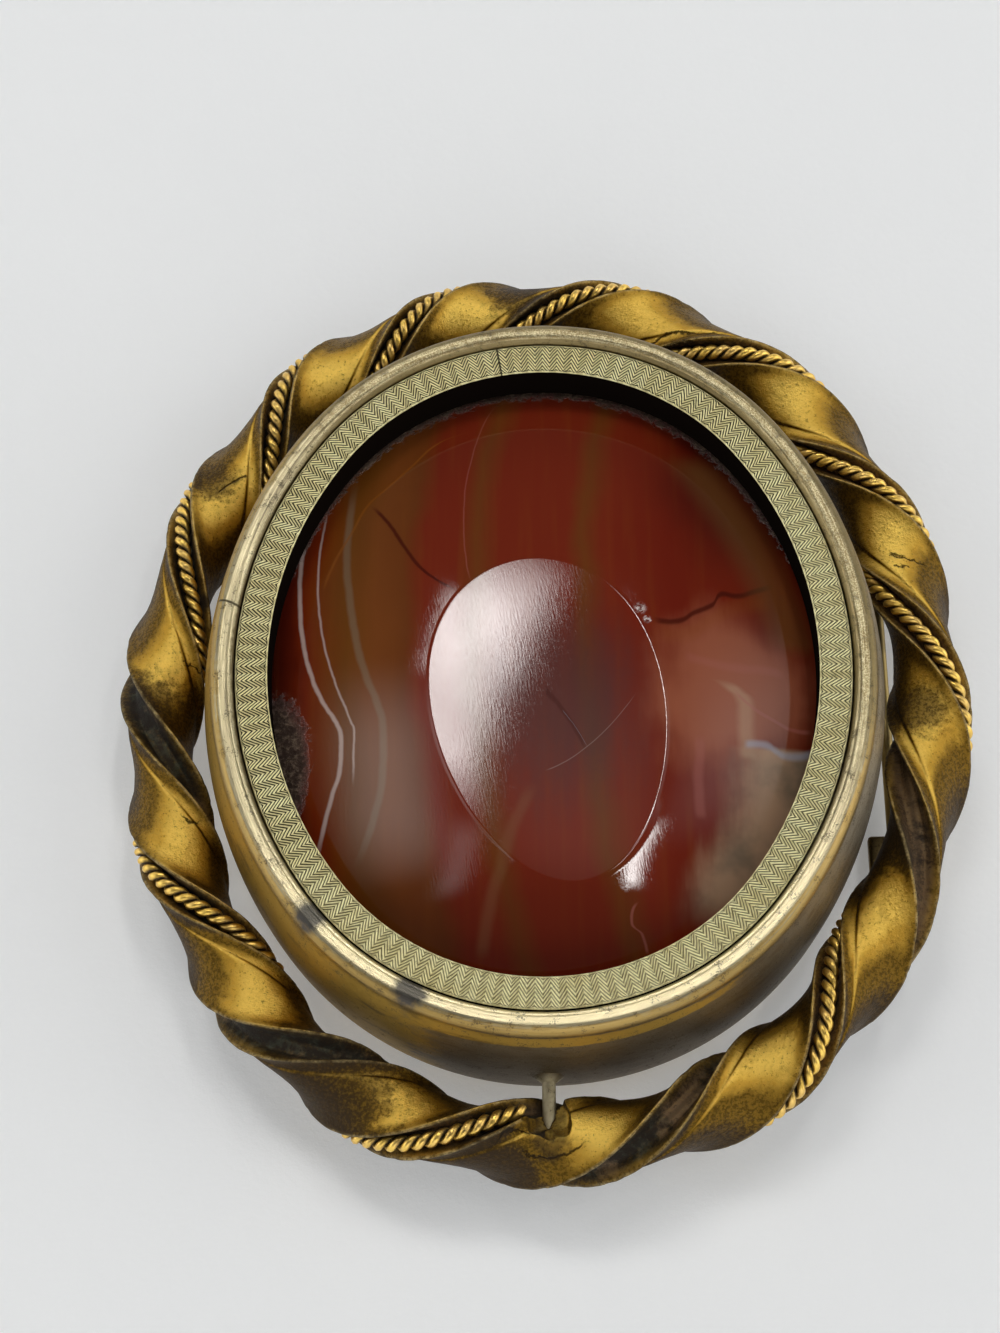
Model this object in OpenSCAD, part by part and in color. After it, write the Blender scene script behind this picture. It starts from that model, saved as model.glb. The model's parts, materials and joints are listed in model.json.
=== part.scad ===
// Swivel mourning brooch: an oval agate locket that turns on two pins inside a frame of twisted gilt strip.
// It lies on its back. +Z points up out of the stone, and +Y runs along the swivel pins, which is the longest way.
// The origin is at the middle of the surface that it lies on. Lengths are in millimetres.

/* [Twisted frame] */
// Half of the frame's width, out to the lips of its grooves
frame_half_w = 30; // [29.8:0.1:30.6]
// Half of the frame's length, out to the lips of its grooves
frame_half_l = 34.6; // [34.4:0.1:35.2]
// Radius of the twisted strip, from its middle line out to its lips
strip_r = 3; // [2.8:0.05:3]

/* [Twisted wires] */
// Thickness of the wire that is wound along the grooves
wire_d = 0.95; // [0.8:0.05:1]
// Gap between the wire and the floor of its groove
wire_gap = 0.05; // [0.05:0.01:0.1]

/* [Locket] */
// Half of the width of the opening that shows the stone
opening_half_w = 18.75; // [18.5:0.05:18.8]
// Half of the length of the opening that shows the stone
opening_half_l = 22.45; // [22.2:0.05:22.5]
// How far the barrel-shaped wall stands out past the opening at its widest
wall_out = 4.95; // [4.8:0.05:4.95]
// How much the wall draws in from its widest to the rims
wall_bulge = 1; // [0.8:0.05:1.1]
// Thickness of the sheet of the wall
wall_t = 0.7; // [0.6:0.05:0.9]
// Height of the middle of each rim bead above or below the pins
bead_rise = 5.9; // [5.8:0.05:6]
// Radius of the rim beads
bead_r = 0.85; // [0.8:0.05:0.85]
// How much of the back rim is worn flat
back_wear = 0.05; // [0.03:0.01:0.08]

/* [Swivel pins] */
// Diameter of the pins
pin_d = 0.9; // [0.8:0.05:0.95]
// Gap all round a pin in the frame
pin_gap = 0.05; // [0.04:0.01:0.08]
// Distance from the middle of the locket to the end of a pin
pin_end = 32; // [31.5:0.1:32.2]
// Height of the pins above the frame's middle plane
pin_over_frame = 0.9; // [0.8:0.05:1]

/* [Engraved bezel] */
// Width of the flat engraved ring
bezel_w = 2.2; // [2.1:0.05:2.25]
// Thickness of the flat engraved ring
bezel_t = 0.5; // [0.4:0.05:0.6]
// Height of the engraved face above the pins
bezel_rise = 6.3; // [6.2:0.05:6.35]
// Depth from the engraved face to the foot of the ring's inner wall
collet_depth = 2.95; // [2.8:0.05:3]
// Thickness of the ring's inner wall
collet_t = 0.5; // [0.4:0.05:0.6]

/* [Agate] */
// Half of the width of the flat table on the stone
table_half_w = 7.75; // [7.5:0.05:8.5]
// Half of the length of the flat table on the stone
table_half_l = 11.9; // [11:0.1:12.5]
// How far the table lies off the middle, towards the right
table_right = 0.5; // [0:0.1:1]
// How far the table lies off the middle, towards the lower end
table_shift = 3.9; // [3:0.1:4.2]
// Angle by which the table's upper end leans to the left
table_lean = 9.75; // [0:0.25:12]
// How much wider the table is at its upper end than in its middle, as a share of its width
table_egg = 0.12; // [0:0.01:0.15]
// Depth from the engraved face to the table
table_depth = 0.8; // [0.6:0.05:1.2]
// Height from the stone's outer edge up to its table
stone_crown = 2.7; // [2.4:0.05:2.8]
// Thickness of the stone at its outer edge
stone_edge_t = 1.5; // [1.2:0.1:1.6]

/* [Brooch pin] */
// Diameter of the stem that goes through the cloth
stem_d = 0.9; // [0.8:0.05:1]
// Distance of the stem from the brooch's middle line
stem_x = 24.5; // [24.3:0.1:24.7]
// Width of the two feet that are soldered under the frame
foot_w = 4; // [3.6:0.1:4.2]
// Length of the two feet
foot_l = 4; // [3.6:0.1:4.4]

/* [Hidden] */
$fn = 96;

gold = "goldenrod";
pale_brass = "darkkhaki";
far = 60;
sliver = 0.02;
// Gap between pieces that lie against each other.
rest_gap = 0.05;

// An oval is [half width, half length]. It is drawn with four arcs, and the centres of two neighbouring arcs and
// the oval's own centre make a triangle with sides of 3, 4 and 5 parts.
opening = [opening_half_w, opening_half_l];
frame_line = [frame_half_w - strip_r, frame_half_l - strip_r];

// Heights above the surface that the brooch lies on.
pin_z = bead_rise + bead_r - back_wear;
frame_z = pin_z - pin_over_frame;
pin_r = pin_d / 2;
bore_r = pin_r + pin_gap;

// Section of the twisted strip from the middle of a groove round to the middle of a trough.
// Columns: angle from the groove, radius as a share of the lips' radius.
section_quarter = [
    [0, 0.64],    // floor of the groove
    [16, 0.66],   // edge of the floor
    [22, 0.965],  // inner side of the lip
    [26, 1],      // crest of the lip
    [33, 0.885],  // foot of the lip
    [45, 0.81],   // crease beside the lip
    [66, 0.71],   // rise of the trough's belly
    [90, 0.67],   // middle of the trough
];
floor_r = strip_r * section_quarter[0][1];
wire_r = wire_d / 2;
wire_line_r = floor_r + wire_gap + wire_r;

// Where each groove comes round to the outside of the frame, as a distance along the middle line from the
// right-hand side, anticlockwise. The twist was made by hand, so its steps are uneven.
groove_span = 184;
groove_at = [10, 23, 37, 50, 62, 74.5, 89, 102, 114.5, 126.5, 139.5, 152.5, 165, 180];
groove_count = len(groove_at);
// Where the wires start and end, counted in grooves. The long wire stops on either side of the lower swivel pin,
// and the short one behind the frame.
long_wire_from = 10;
long_wire_to = 23.75;
short_wire_from = 13.5;
short_wire_to = 19.5;

stations_a_groove = 12;
wire_sides = 6;

// Shapes of ovals. The part is a fifth of the distance between the centres of neighbouring arcs.
side_angle = atan2(3, 4);
function part(o) = (o[1] - o[0]) / 2;
function side_centre(o) = 4 * part(o);
function end_centre(o) = 3 * part(o);
function side_radius(o) = o[0] + side_centre(o);
function end_radius(o) = o[1] - end_centre(o);
function arc_len(r, a) = r * a * PI / 180;
function side_len(o) = arc_len(side_radius(o), side_angle);
function quarter_len(o) = side_len(o) + arc_len(end_radius(o), 90 - side_angle);
function quarter_dir(o, s) =
    s < side_len(o) ? s / arc_len(side_radius(o), 1) : side_angle + (s - side_len(o)) / arc_len(end_radius(o), 1);

// Direction that faces outward at a distance along the oval, and the point there.
function oval_dir(o, s) =
    let (q = quarter_len(o), k = floor(s / q), r = s - k * q, turn = k - 4 * floor(k / 4))
    turn == 0 ? quarter_dir(o, r)
    : turn == 1 ? 180 - quarter_dir(o, q - r)
    : turn == 2 ? 180 + quarter_dir(o, r)
    : 360 - quarter_dir(o, q - r);
function oval_point(o, dir) =
    abs(sin(dir)) > sin(side_angle)
    ? [end_radius(o) * cos(dir), end_radius(o) * sin(dir) + sign(sin(dir)) * end_centre(o)]
    : [side_radius(o) * cos(dir) - sign(cos(dir)) * side_centre(o), side_radius(o) * sin(dir)];

// Twist of the strip. A count of grooves runs along the frame, and a half turn goes with each.
line_len = 4 * quarter_len(frame_line);
function groove_s(k) =
    let (lap = floor(k / groove_count))
    (groove_at[k - lap * groove_count] + lap * groove_span) * line_len / groove_span;
function groove_pace(k) = (groove_s(k + 1) - groove_s(k - 1)) / 2;
function strip_s(g) =
    let (k = floor(g), u = g - k)
    groove_s(k) * (2 * u * u * u - 3 * u * u + 1) + groove_s(k + 1) * (3 * u * u - 2 * u * u * u)
    + groove_pace(k) * (u * u * u - 2 * u * u + u) + groove_pace(k + 1) * (u * u * u - u * u);
// Point of the strip's cross-section at groove count g, at radius r and an angle from the groove.
function strip_point(g, r, angle) =
    let (dir = oval_dir(frame_line, strip_s(g)), p = oval_point(frame_line, dir), a = 180 * g + angle)
    [p[0] + r * cos(a) * cos(dir), p[1] + r * cos(a) * sin(dir), frame_z + r * sin(a)];

function mirror_rows(rows) = [for (i = [len(rows) - 2:-1:0]) [180 - rows[i][0], rows[i][1]]];
function half_turn(rows) = [for (row = rows) [row[0] + 180, row[1]]];
section_half = concat(section_quarter, mirror_rows(section_quarter));
section_open = [for (i = [0:len(section_half) - 2]) section_half[i]];
section = concat(section_open, half_turn(section_open));

// Faces of a skin over rings of m points, and flat ends where it isn't closed into a loop.
function skin_faces(n, m, closed) = [
    for (i = [0:closed ? n - 1 : n - 2], j = [0:m - 1])
        let (a = i * m + j, b = i * m + (j + 1) % m, c = ((i + 1) % n) * m + (j + 1) % m, d = ((i + 1) % n) * m + j)
        each [[a, b, c], [a, c, d]]
];
function end_faces(n, m) = [[for (j = [m - 1:-1:0]) j], [for (j = [0:m - 1]) (n - 1) * m + j]];

function unit(v) = v / norm(v);
function wire_line(g, side) = strip_point(g, wire_line_r, side);
// One ring of a wire whose middle runs at a fixed radius round the strip. side is 0 or 180.
function wire_ring(g, side) =
    let (
        p = wire_line(g, side),
        out = unit(p - strip_point(g, 0, 0)),
        along = unit(wire_line(g + sliver, side) - wire_line(g - sliver, side)),
        across = unit(cross(along, out)),
        up = cross(across, along)
    )
    [for (j = [0:wire_sides - 1])
        p + wire_r * (cos(j * 360 / wire_sides) * up - sin(j * 360 / wire_sides) * across)];

// Ledges inside the case, and the solder round the root of each swivel pin.
ledge_t = 0.6;
ledge_play = 0.1;
stone_ledge = 0.6;
solder_r = 1.5;
solder_l = 0.35;

// The stone's border blends from the table's outline to the stone's own edge.
stone_sides = 48;
stone_rings = 5;
stone_out = 1;
stone_round = 0.3;
table_z = pin_z + bezel_rise - table_depth;
stone_z = table_z - stone_crown;
function stone_edge(i) =
    let (dir = oval_dir(opening, i * 4 * quarter_len(opening) / stone_sides))
    oval_point(opening, dir) + stone_out * [cos(dir), sin(dir)];
function table_edge(i) =
    let (
        p = stone_edge(i),
        a = atan2(p[1] / stone_edge(stone_sides / 4)[1], p[0] / stone_edge(0)[0]) - table_lean,
        x = table_half_w * cos(a) * (1 + table_egg * sin(a)),
        y = table_half_l * sin(a)
    )
    [table_right + x * cos(table_lean) - y * sin(table_lean), x * sin(table_lean) + y * cos(table_lean) - table_shift];
function stone_ring(f) = [
    for (i = [0:stone_sides - 1])
        let (xy = table_edge(i) * (1 - f) + stone_edge(i) * f)
        [xy[0], xy[1], table_z - stone_crown * ((1 - stone_round) * f + stone_round * f * f)]
];

// Places of the feet: where a groove's lips are lowest, behind the frame.
hinge_y = strip_point(0.5 + groove_count, 0, 0)[1];
catch_y = strip_point(groove_count - 1.5, 0, 0)[1];
foot_top = frame_z - strip_r - rest_gap;
foot_t = 0.9;
knuckle_l = 3;
knuckle_r = 1.05;
hook_l = 2;
hook_t = 0.55;

// The two kinds of wedge that an oval's four arcs fill, from the centre of an arc outward.
module side_wedge(o) {
    translate([-side_centre(o), 0, -far]) linear_extrude(2 * far) polygon(far * [[0, 0], [4, -3], [4, 3]]);
}
module end_wedge(o) {
    translate([0, end_centre(o), -far]) linear_extrude(2 * far) polygon(far * [[0, 0], [4, 3], [-4, 3]]);
}

// Repeats a drawn cross-section round an oval. Its x is the distance out from the oval.
module oval_sweep(o) {
    for (turn = [0, 180]) rotate(turn) {
        intersection() {
            translate([-side_centre(o), 0, 0]) rotate_extrude() translate([side_radius(o), 0]) children();
            side_wedge(o);
        }
        intersection() {
            translate([0, end_centre(o), 0]) rotate_extrude() translate([end_radius(o), 0]) children();
            end_wedge(o);
        }
    }
}

module twisted_strip() {
    n = groove_count * stations_a_groove;
    rows = [for (i = [0:n - 1], row = section) strip_point(i / stations_a_groove, strip_r * row[1], row[0])];
    polyhedron(points = rows, faces = skin_faces(n, len(section), true), convexity = 8);
}

// The strip's metal, with a bore for each swivel pin. The lower one is torn open to the front.
module twisted_frame() {
    color(gold) difference() {
        twisted_strip();
        for (turn = [0, 180]) rotate(turn) translate([0, 0, pin_z]) rotate([90, 0, 0])
            translate([0, 0, opening_half_l]) cylinder(h = pin_end + pin_gap - opening_half_l, r = bore_r);
        translate([-bore_r, -pin_end - pin_gap, pin_z])
            cube([2 * bore_r, pin_end - opening_half_l, strip_r + sliver]);
    }
}

// A wire laid in one of the strip's two grooves.
module groove_wire(from, to, side) {
    n = round((to - from) * stations_a_groove) + 1;
    rows = [for (i = [0:n - 1]) each wire_ring(from + i / stations_a_groove, side)];
    polyhedron(
        points = rows,
        faces = concat(skin_faces(n, wire_sides, false), end_faces(n, wire_sides)),
        convexity = 8
    );
}

module long_wire() {
    color(gold) groove_wire(long_wire_from, long_wire_to, 180);
}

module short_wire() {
    color(gold) groove_wire(short_wire_from, short_wire_to, 0);
}

// Half of the case's cross-section: the barrel wall, a rim bead, and the ledges inside.
module case_section() {
    wall_r = (bead_rise * bead_rise + wall_bulge * wall_bulge) / (2 * wall_bulge);
    bead_x = wall_out - wall_bulge - bead_r;
    shoulder_z = bezel_rise - bezel_t - rest_gap;
    intersection() {
        translate([wall_out - wall_r, 0]) difference() {
            circle(r = wall_r);
            circle(r = wall_r - wall_t);
        }
        square([far, bead_rise]);
    }
    translate([bead_x, bead_rise]) circle(r = bead_r);
    translate([collet_t + ledge_play, shoulder_z - ledge_t]) square([bead_x - collet_t, ledge_t]);
}

module locket_case() {
    stone_seat = stone_z - stone_edge_t - pin_z - rest_gap;
    pin_root = opening_half_l + wall_out - wall_t / 2;
    color(pale_brass) {
        translate([0, 0, pin_z]) oval_sweep(opening) {
            difference() {
                union() {
                    case_section();
                    mirror([0, 1]) case_section();
                    translate([-stone_ledge, stone_seat - ledge_t]) square([wall_out, ledge_t]);
                }
                translate([-stone_ledge, -far - pin_z]) square([far, far]);
            }
        }
        for (turn = [0, 180]) rotate(turn) translate([0, pin_root, pin_z]) rotate([-90, 0, 0]) {
            cylinder(h = pin_end - pin_root, r = pin_r);
            cylinder(h = wall_t / 2 + solder_l, r1 = solder_r, r2 = pin_r);
        }
    }
}

module engraved_bezel() {
    color("palegoldenrod") translate([0, 0, pin_z + bezel_rise]) oval_sweep(opening) {
        translate([0, -bezel_t]) square([bezel_w, bezel_t]);
        translate([0, -collet_depth]) square([collet_t, collet_depth]);
    }
}

module agate() {
    rings = concat(
        [for (k = [0:stone_rings]) each stone_ring(k / stone_rings)],
        [for (p = stone_ring(1)) [p[0], p[1], stone_z - stone_edge_t]]
    );
    n = stone_rings + 2;
    color("firebrick")
        polyhedron(points = rings, faces = concat(skin_faces(n, stone_sides, false), end_faces(n, stone_sides)));
}

// A plain closed plate. Its arcs' discs overlap, so each reaches in to the centre of its own arc.
module back_plate() {
    color(pale_brass) for (turn = [0, 180]) rotate(turn) translate([0, 0, pin_z - bezel_rise]) {
        intersection() {
            translate([-side_centre(opening), 0, 0]) cylinder(h = bezel_t, r = side_radius(opening) + bezel_w);
            side_wedge(opening);
        }
        intersection() {
            translate([0, end_centre(opening), 0]) cylinder(h = bezel_t, r = end_radius(opening) + bezel_w);
            end_wedge(opening);
        }
    }
}

// The fastening pin: a hinge block, a stem and a catch in one piece, lying under one side of the frame.
module brooch_pin() {
    color(pale_brass) {
        for (y = [hinge_y, catch_y]) translate([stem_x - foot_w / 2, y - foot_l / 2, foot_top - foot_t])
            cube([foot_w, foot_l, foot_t]);
        translate([stem_x - knuckle_l / 2, hinge_y, knuckle_r]) rotate([0, 90, 0])
            cylinder(h = knuckle_l, r = knuckle_r);
        translate([stem_x, hinge_y, knuckle_r]) rotate([90, 0, 0])
            cylinder(h = hinge_y - catch_y + hook_l, r = stem_d / 2);
        translate([stem_x, catch_y + hook_l / 2, knuckle_r]) rotate([90, 0, 0])
            cylinder(h = hook_l, r = knuckle_r);
        translate([stem_x - hook_t / 2, catch_y - hook_l / 2, knuckle_r]) cube([hook_t, hook_l, foot_top - knuckle_r]);
    }
}

twisted_frame();
long_wire();
short_wire();
locket_case();
engraved_bezel();
agate();
back_plate();
brooch_pin();
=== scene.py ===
"""Looks of a swivel mourning brooch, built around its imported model.

A banded agate sits in a barrel-shaped locket case.
The case turns on two pins inside a frame of twisted gilt strip.
Pieces are modelled in millimetres and brought to metres when they are finished.
"""

from __future__ import annotations

import json
import logging
import math
from collections.abc import Callable, Iterable, Sequence
from dataclasses import dataclass
from enum import Enum
from typing import Any, Optional, Union

import bpy
from mathutils import Matrix, Vector, noise

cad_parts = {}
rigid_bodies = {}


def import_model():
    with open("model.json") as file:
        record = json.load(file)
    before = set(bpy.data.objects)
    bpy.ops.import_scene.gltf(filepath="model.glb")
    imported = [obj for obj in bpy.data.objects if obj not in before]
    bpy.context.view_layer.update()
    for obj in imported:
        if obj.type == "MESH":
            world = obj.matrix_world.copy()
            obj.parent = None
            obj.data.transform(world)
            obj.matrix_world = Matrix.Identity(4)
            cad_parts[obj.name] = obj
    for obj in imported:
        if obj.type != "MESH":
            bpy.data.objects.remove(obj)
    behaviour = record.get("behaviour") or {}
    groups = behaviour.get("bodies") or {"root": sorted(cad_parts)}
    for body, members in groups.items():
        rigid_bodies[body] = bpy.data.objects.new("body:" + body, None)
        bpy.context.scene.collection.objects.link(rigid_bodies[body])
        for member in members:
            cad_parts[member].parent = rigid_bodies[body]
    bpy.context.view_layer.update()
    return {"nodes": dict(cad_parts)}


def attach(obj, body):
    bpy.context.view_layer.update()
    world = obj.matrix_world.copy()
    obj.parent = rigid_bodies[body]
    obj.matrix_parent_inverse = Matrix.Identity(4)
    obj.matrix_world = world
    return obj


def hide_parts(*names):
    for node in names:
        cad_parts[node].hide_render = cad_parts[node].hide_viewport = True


LOG = logging.getLogger("swivel_brooch")
MM = 0.001

# How near, in millimetres, the ends of a sweep and the rims of a cap lie to what they are merged with.
SEAM_GAP = 0.002
CAP_GAP = 0.00001
# Share of a spot's reach over which it is whole, and the least height that a drawn line spans.
SPOT_CORE = 0.35
LEAST_SPREAD = 0.1
# Seed of the cutters' roughness, so that every run cuts the same shape.
ROUGH_SEED = 7
# Turns that lay a cylinder along x or y.
ALONG_X = (0, math.pi / 2, 0)
ALONG_Y = (math.pi / 2, 0, 0)

Point = tuple[float, float]
Triple = tuple[float, float, float]
Colour = tuple[float, float, float, float]
Shape = bpy.types.Object
Operand = Union["Signal", float]


# Working in edit mode


def select_only(piece: Shape) -> None:
    """Leaves one object selected and active.

    Args:
        piece: The object.
    """
    for other in bpy.context.view_layer.objects:
        other.select_set(False)
    piece.select_set(True)
    bpy.context.view_layer.objects.active = piece


def in_edit_mode(piece: Shape, work: Callable[[], None]) -> None:
    """Does one stretch of work in edit mode, with the whole mesh selected.

    Args:
        piece: The object to edit.
        work: The operator calls to make.
    """
    select_only(piece)
    bpy.ops.object.mode_set(mode="EDIT")
    bpy.ops.mesh.select_all(action="SELECT")
    work()
    bpy.ops.object.mode_set(mode="OBJECT")


def fix_place(piece: Shape) -> Shape:
    """Writes an object's place, turn and scale into its mesh, and returns it.

    Args:
        piece: The object.

    Returns:
        The same object.
    """
    select_only(piece)
    bpy.ops.object.transform_apply(location=True, rotation=True, scale=True)
    return piece


def face_outward() -> None:
    """Turns all faces of the piece outward, in edit mode."""
    bpy.ops.mesh.normals_make_consistent(inside=False)


def select_vertices(piece: Shape, chosen: Callable[[Vector], bool]) -> None:
    """Selects the vertices that a test picks by their place, from object mode.

    Args:
        piece: The object.
        chosen: The test, which takes a vertex's place.
    """
    mesh = piece.data
    for polygon in mesh.polygons:
        polygon.select = False
    for edge in mesh.edges:
        edge.select = False
    for vertex in mesh.vertices:
        vertex.select = chosen(vertex.co)


def profile_loop(name: str, outline: Sequence[Vector]) -> Shape:
    """Makes a closed outline of edges, ready to be spun or swept.

    Args:
        name: The piece's name.
        outline: The outline's corners, in millimetres.

    Returns:
        The new object, with one vertex a corner.
    """
    bpy.ops.mesh.primitive_circle_add(vertices=len(outline), radius=1, fill_type="NOTHING")
    piece = bpy.context.object
    piece.name = name
    for vertex, corner in zip(piece.data.vertices, outline):
        vertex.co = corner
    return piece


def apply_modifier(piece: Shape, kind: str, **settings: Any) -> None:
    """Adds one modifier with its settings and applies it at once.

    Args:
        piece: The object.
        kind: The modifier's type.
        **settings: Its settings by name.
    """
    select_only(piece)
    made = piece.modifiers.new(kind.title(), kind)
    for key, value in settings.items():
        setattr(made, key, value)
    bpy.ops.object.modifier_apply(modifier=made.name)


def cut_away(piece: Shape, cutter: Shape, operation: str = "DIFFERENCE") -> None:
    """Cuts a piece by a cutter, or joins them into one skin, and deletes the cutter."""
    apply_modifier(piece, "BOOLEAN", operation=operation, solver="MANIFOLD", object=cutter)
    bpy.data.objects.remove(cutter)


def join(pieces: Sequence[Shape]) -> Shape:
    """Joins several objects into the first one.

    Args:
        pieces: The objects.

    Returns:
        The first one, which now holds them all.
    """
    select_only(pieces[0])
    for other in pieces[1:]:
        other.select_set(True)
    bpy.ops.object.join()
    return pieces[0]


def add_rod(
    radius: float, length: float, middle: Sequence[float], turn: Sequence[float], sides: int
) -> Shape:
    """Adds a cylinder.

    Args:
        radius: Its radius.
        length: Its length.
        middle: The place of its middle.
        turn: Its rotation, such as ALONG_Y.
        sides: How many sides it has.

    Returns:
        The cylinder.
    """
    bpy.ops.mesh.primitive_cylinder_add(
        vertices=sides, radius=radius, depth=length, location=middle, rotation=turn
    )
    return bpy.context.object


def roughen(piece: Shape, depth: float, grain: float) -> None:
    """Moves each vertex a little, so that a cutter leaves a torn or chipped face.

    Args:
        piece: The object to roughen, in millimetres.
        depth: The furthest that a vertex moves.
        grain: The size of the roughness.
    """
    noise.seed_set(ROUGH_SEED)
    for vertex in piece.data.vertices:
        vertex.co += depth * noise.noise_vector(vertex.co / grain)


def finish_piece(piece: Shape, smooth_angle: float) -> Shape:
    """Brings a piece from millimetres to metres at the origin and shades it smooth.

    Args:
        piece: The finished shape.
        smooth_angle: The sharpest edge that is shaded smooth, in degrees.

    Returns:
        The same object.
    """
    fix_place(piece)
    piece.data.transform(Matrix.Scale(MM, 4))
    bpy.ops.object.shade_smooth_by_angle(angle=math.radians(smooth_angle))
    return piece


def place_on(piece: Shape, body: str, slot: str, *nodes: str) -> None:
    """Rides a piece on a body and hides the nodes that it stands for.

    Args:
        piece: The piece.
        body: The body.
        slot: The slot; not used.
        *nodes: The nodes it stands for.
    """
    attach(piece, body)
    if nodes:
        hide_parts(*nodes)
    LOG.info("%s: %d faces, rides on %s", piece.name, len(piece.data.polygons), body)


# Shader arithmetic


class Signal:
    """One output of a shader node, which takes part in ordinary arithmetic."""

    def __init__(self, graph: Graph, socket: bpy.types.NodeSocket) -> None:
        """Wraps a socket of a graph."""
        self.graph = graph
        self.socket = socket

    def _math(self, operation: str, *terms: Operand) -> Signal:
        """Adds one Math node."""
        return self.graph.node("ShaderNodeMath", {"operation": operation}, dict(enumerate(terms)))

    def __add__(self, other: Operand) -> Signal:
        """Adds."""
        return self._math("ADD", self, other)

    __radd__ = __add__

    def __sub__(self, other: Operand) -> Signal:
        """Subtracts."""
        return self._math("SUBTRACT", self, other)

    def __rsub__(self, other: Operand) -> Signal:
        """Subtracts from the other."""
        return self._math("SUBTRACT", other, self)

    def __mul__(self, other: Operand) -> Signal:
        """Multiplies."""
        return self._math("MULTIPLY", self, other)

    __rmul__ = __mul__

    def __truediv__(self, other: Operand) -> Signal:
        """Divides."""
        return self._math("DIVIDE", self, other)

    def __abs__(self) -> Signal:
        """Takes the size without the sign."""
        return self._math("ABSOLUTE", self)

    def fraction(self) -> Signal:
        """Keeps what is past the whole number."""
        return self._math("FRACT", self)

    def greater(self, other: Operand) -> Signal:
        """Takes the greater of two."""
        return self._math("MAXIMUM", self, other)

    def lesser(self, other: Operand) -> Signal:
        """Takes the lesser of two."""
        return self._math("MINIMUM", self, other)

    def step(self, low: float, high: float) -> Signal:
        """Rises smoothly from 0 at one value to 1 at another."""
        ends = {"From Min": low, "From Max": high, "Value": self}
        return self.graph.node("ShaderNodeMapRange", {"interpolation_type": "SMOOTHSTEP"}, ends)

    def fall(self, low: float, high: float) -> Signal:
        """Falls smoothly from 1 at one value to 0 at another."""
        return 1 - self.step(low, high)

    def ridge(self, middle: float, half_width: float, soft: float) -> Signal:
        """Is 1 within a half width of a middle value and falls to 0 past it."""
        return abs(self - middle).fall(half_width, half_width + soft)


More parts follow.
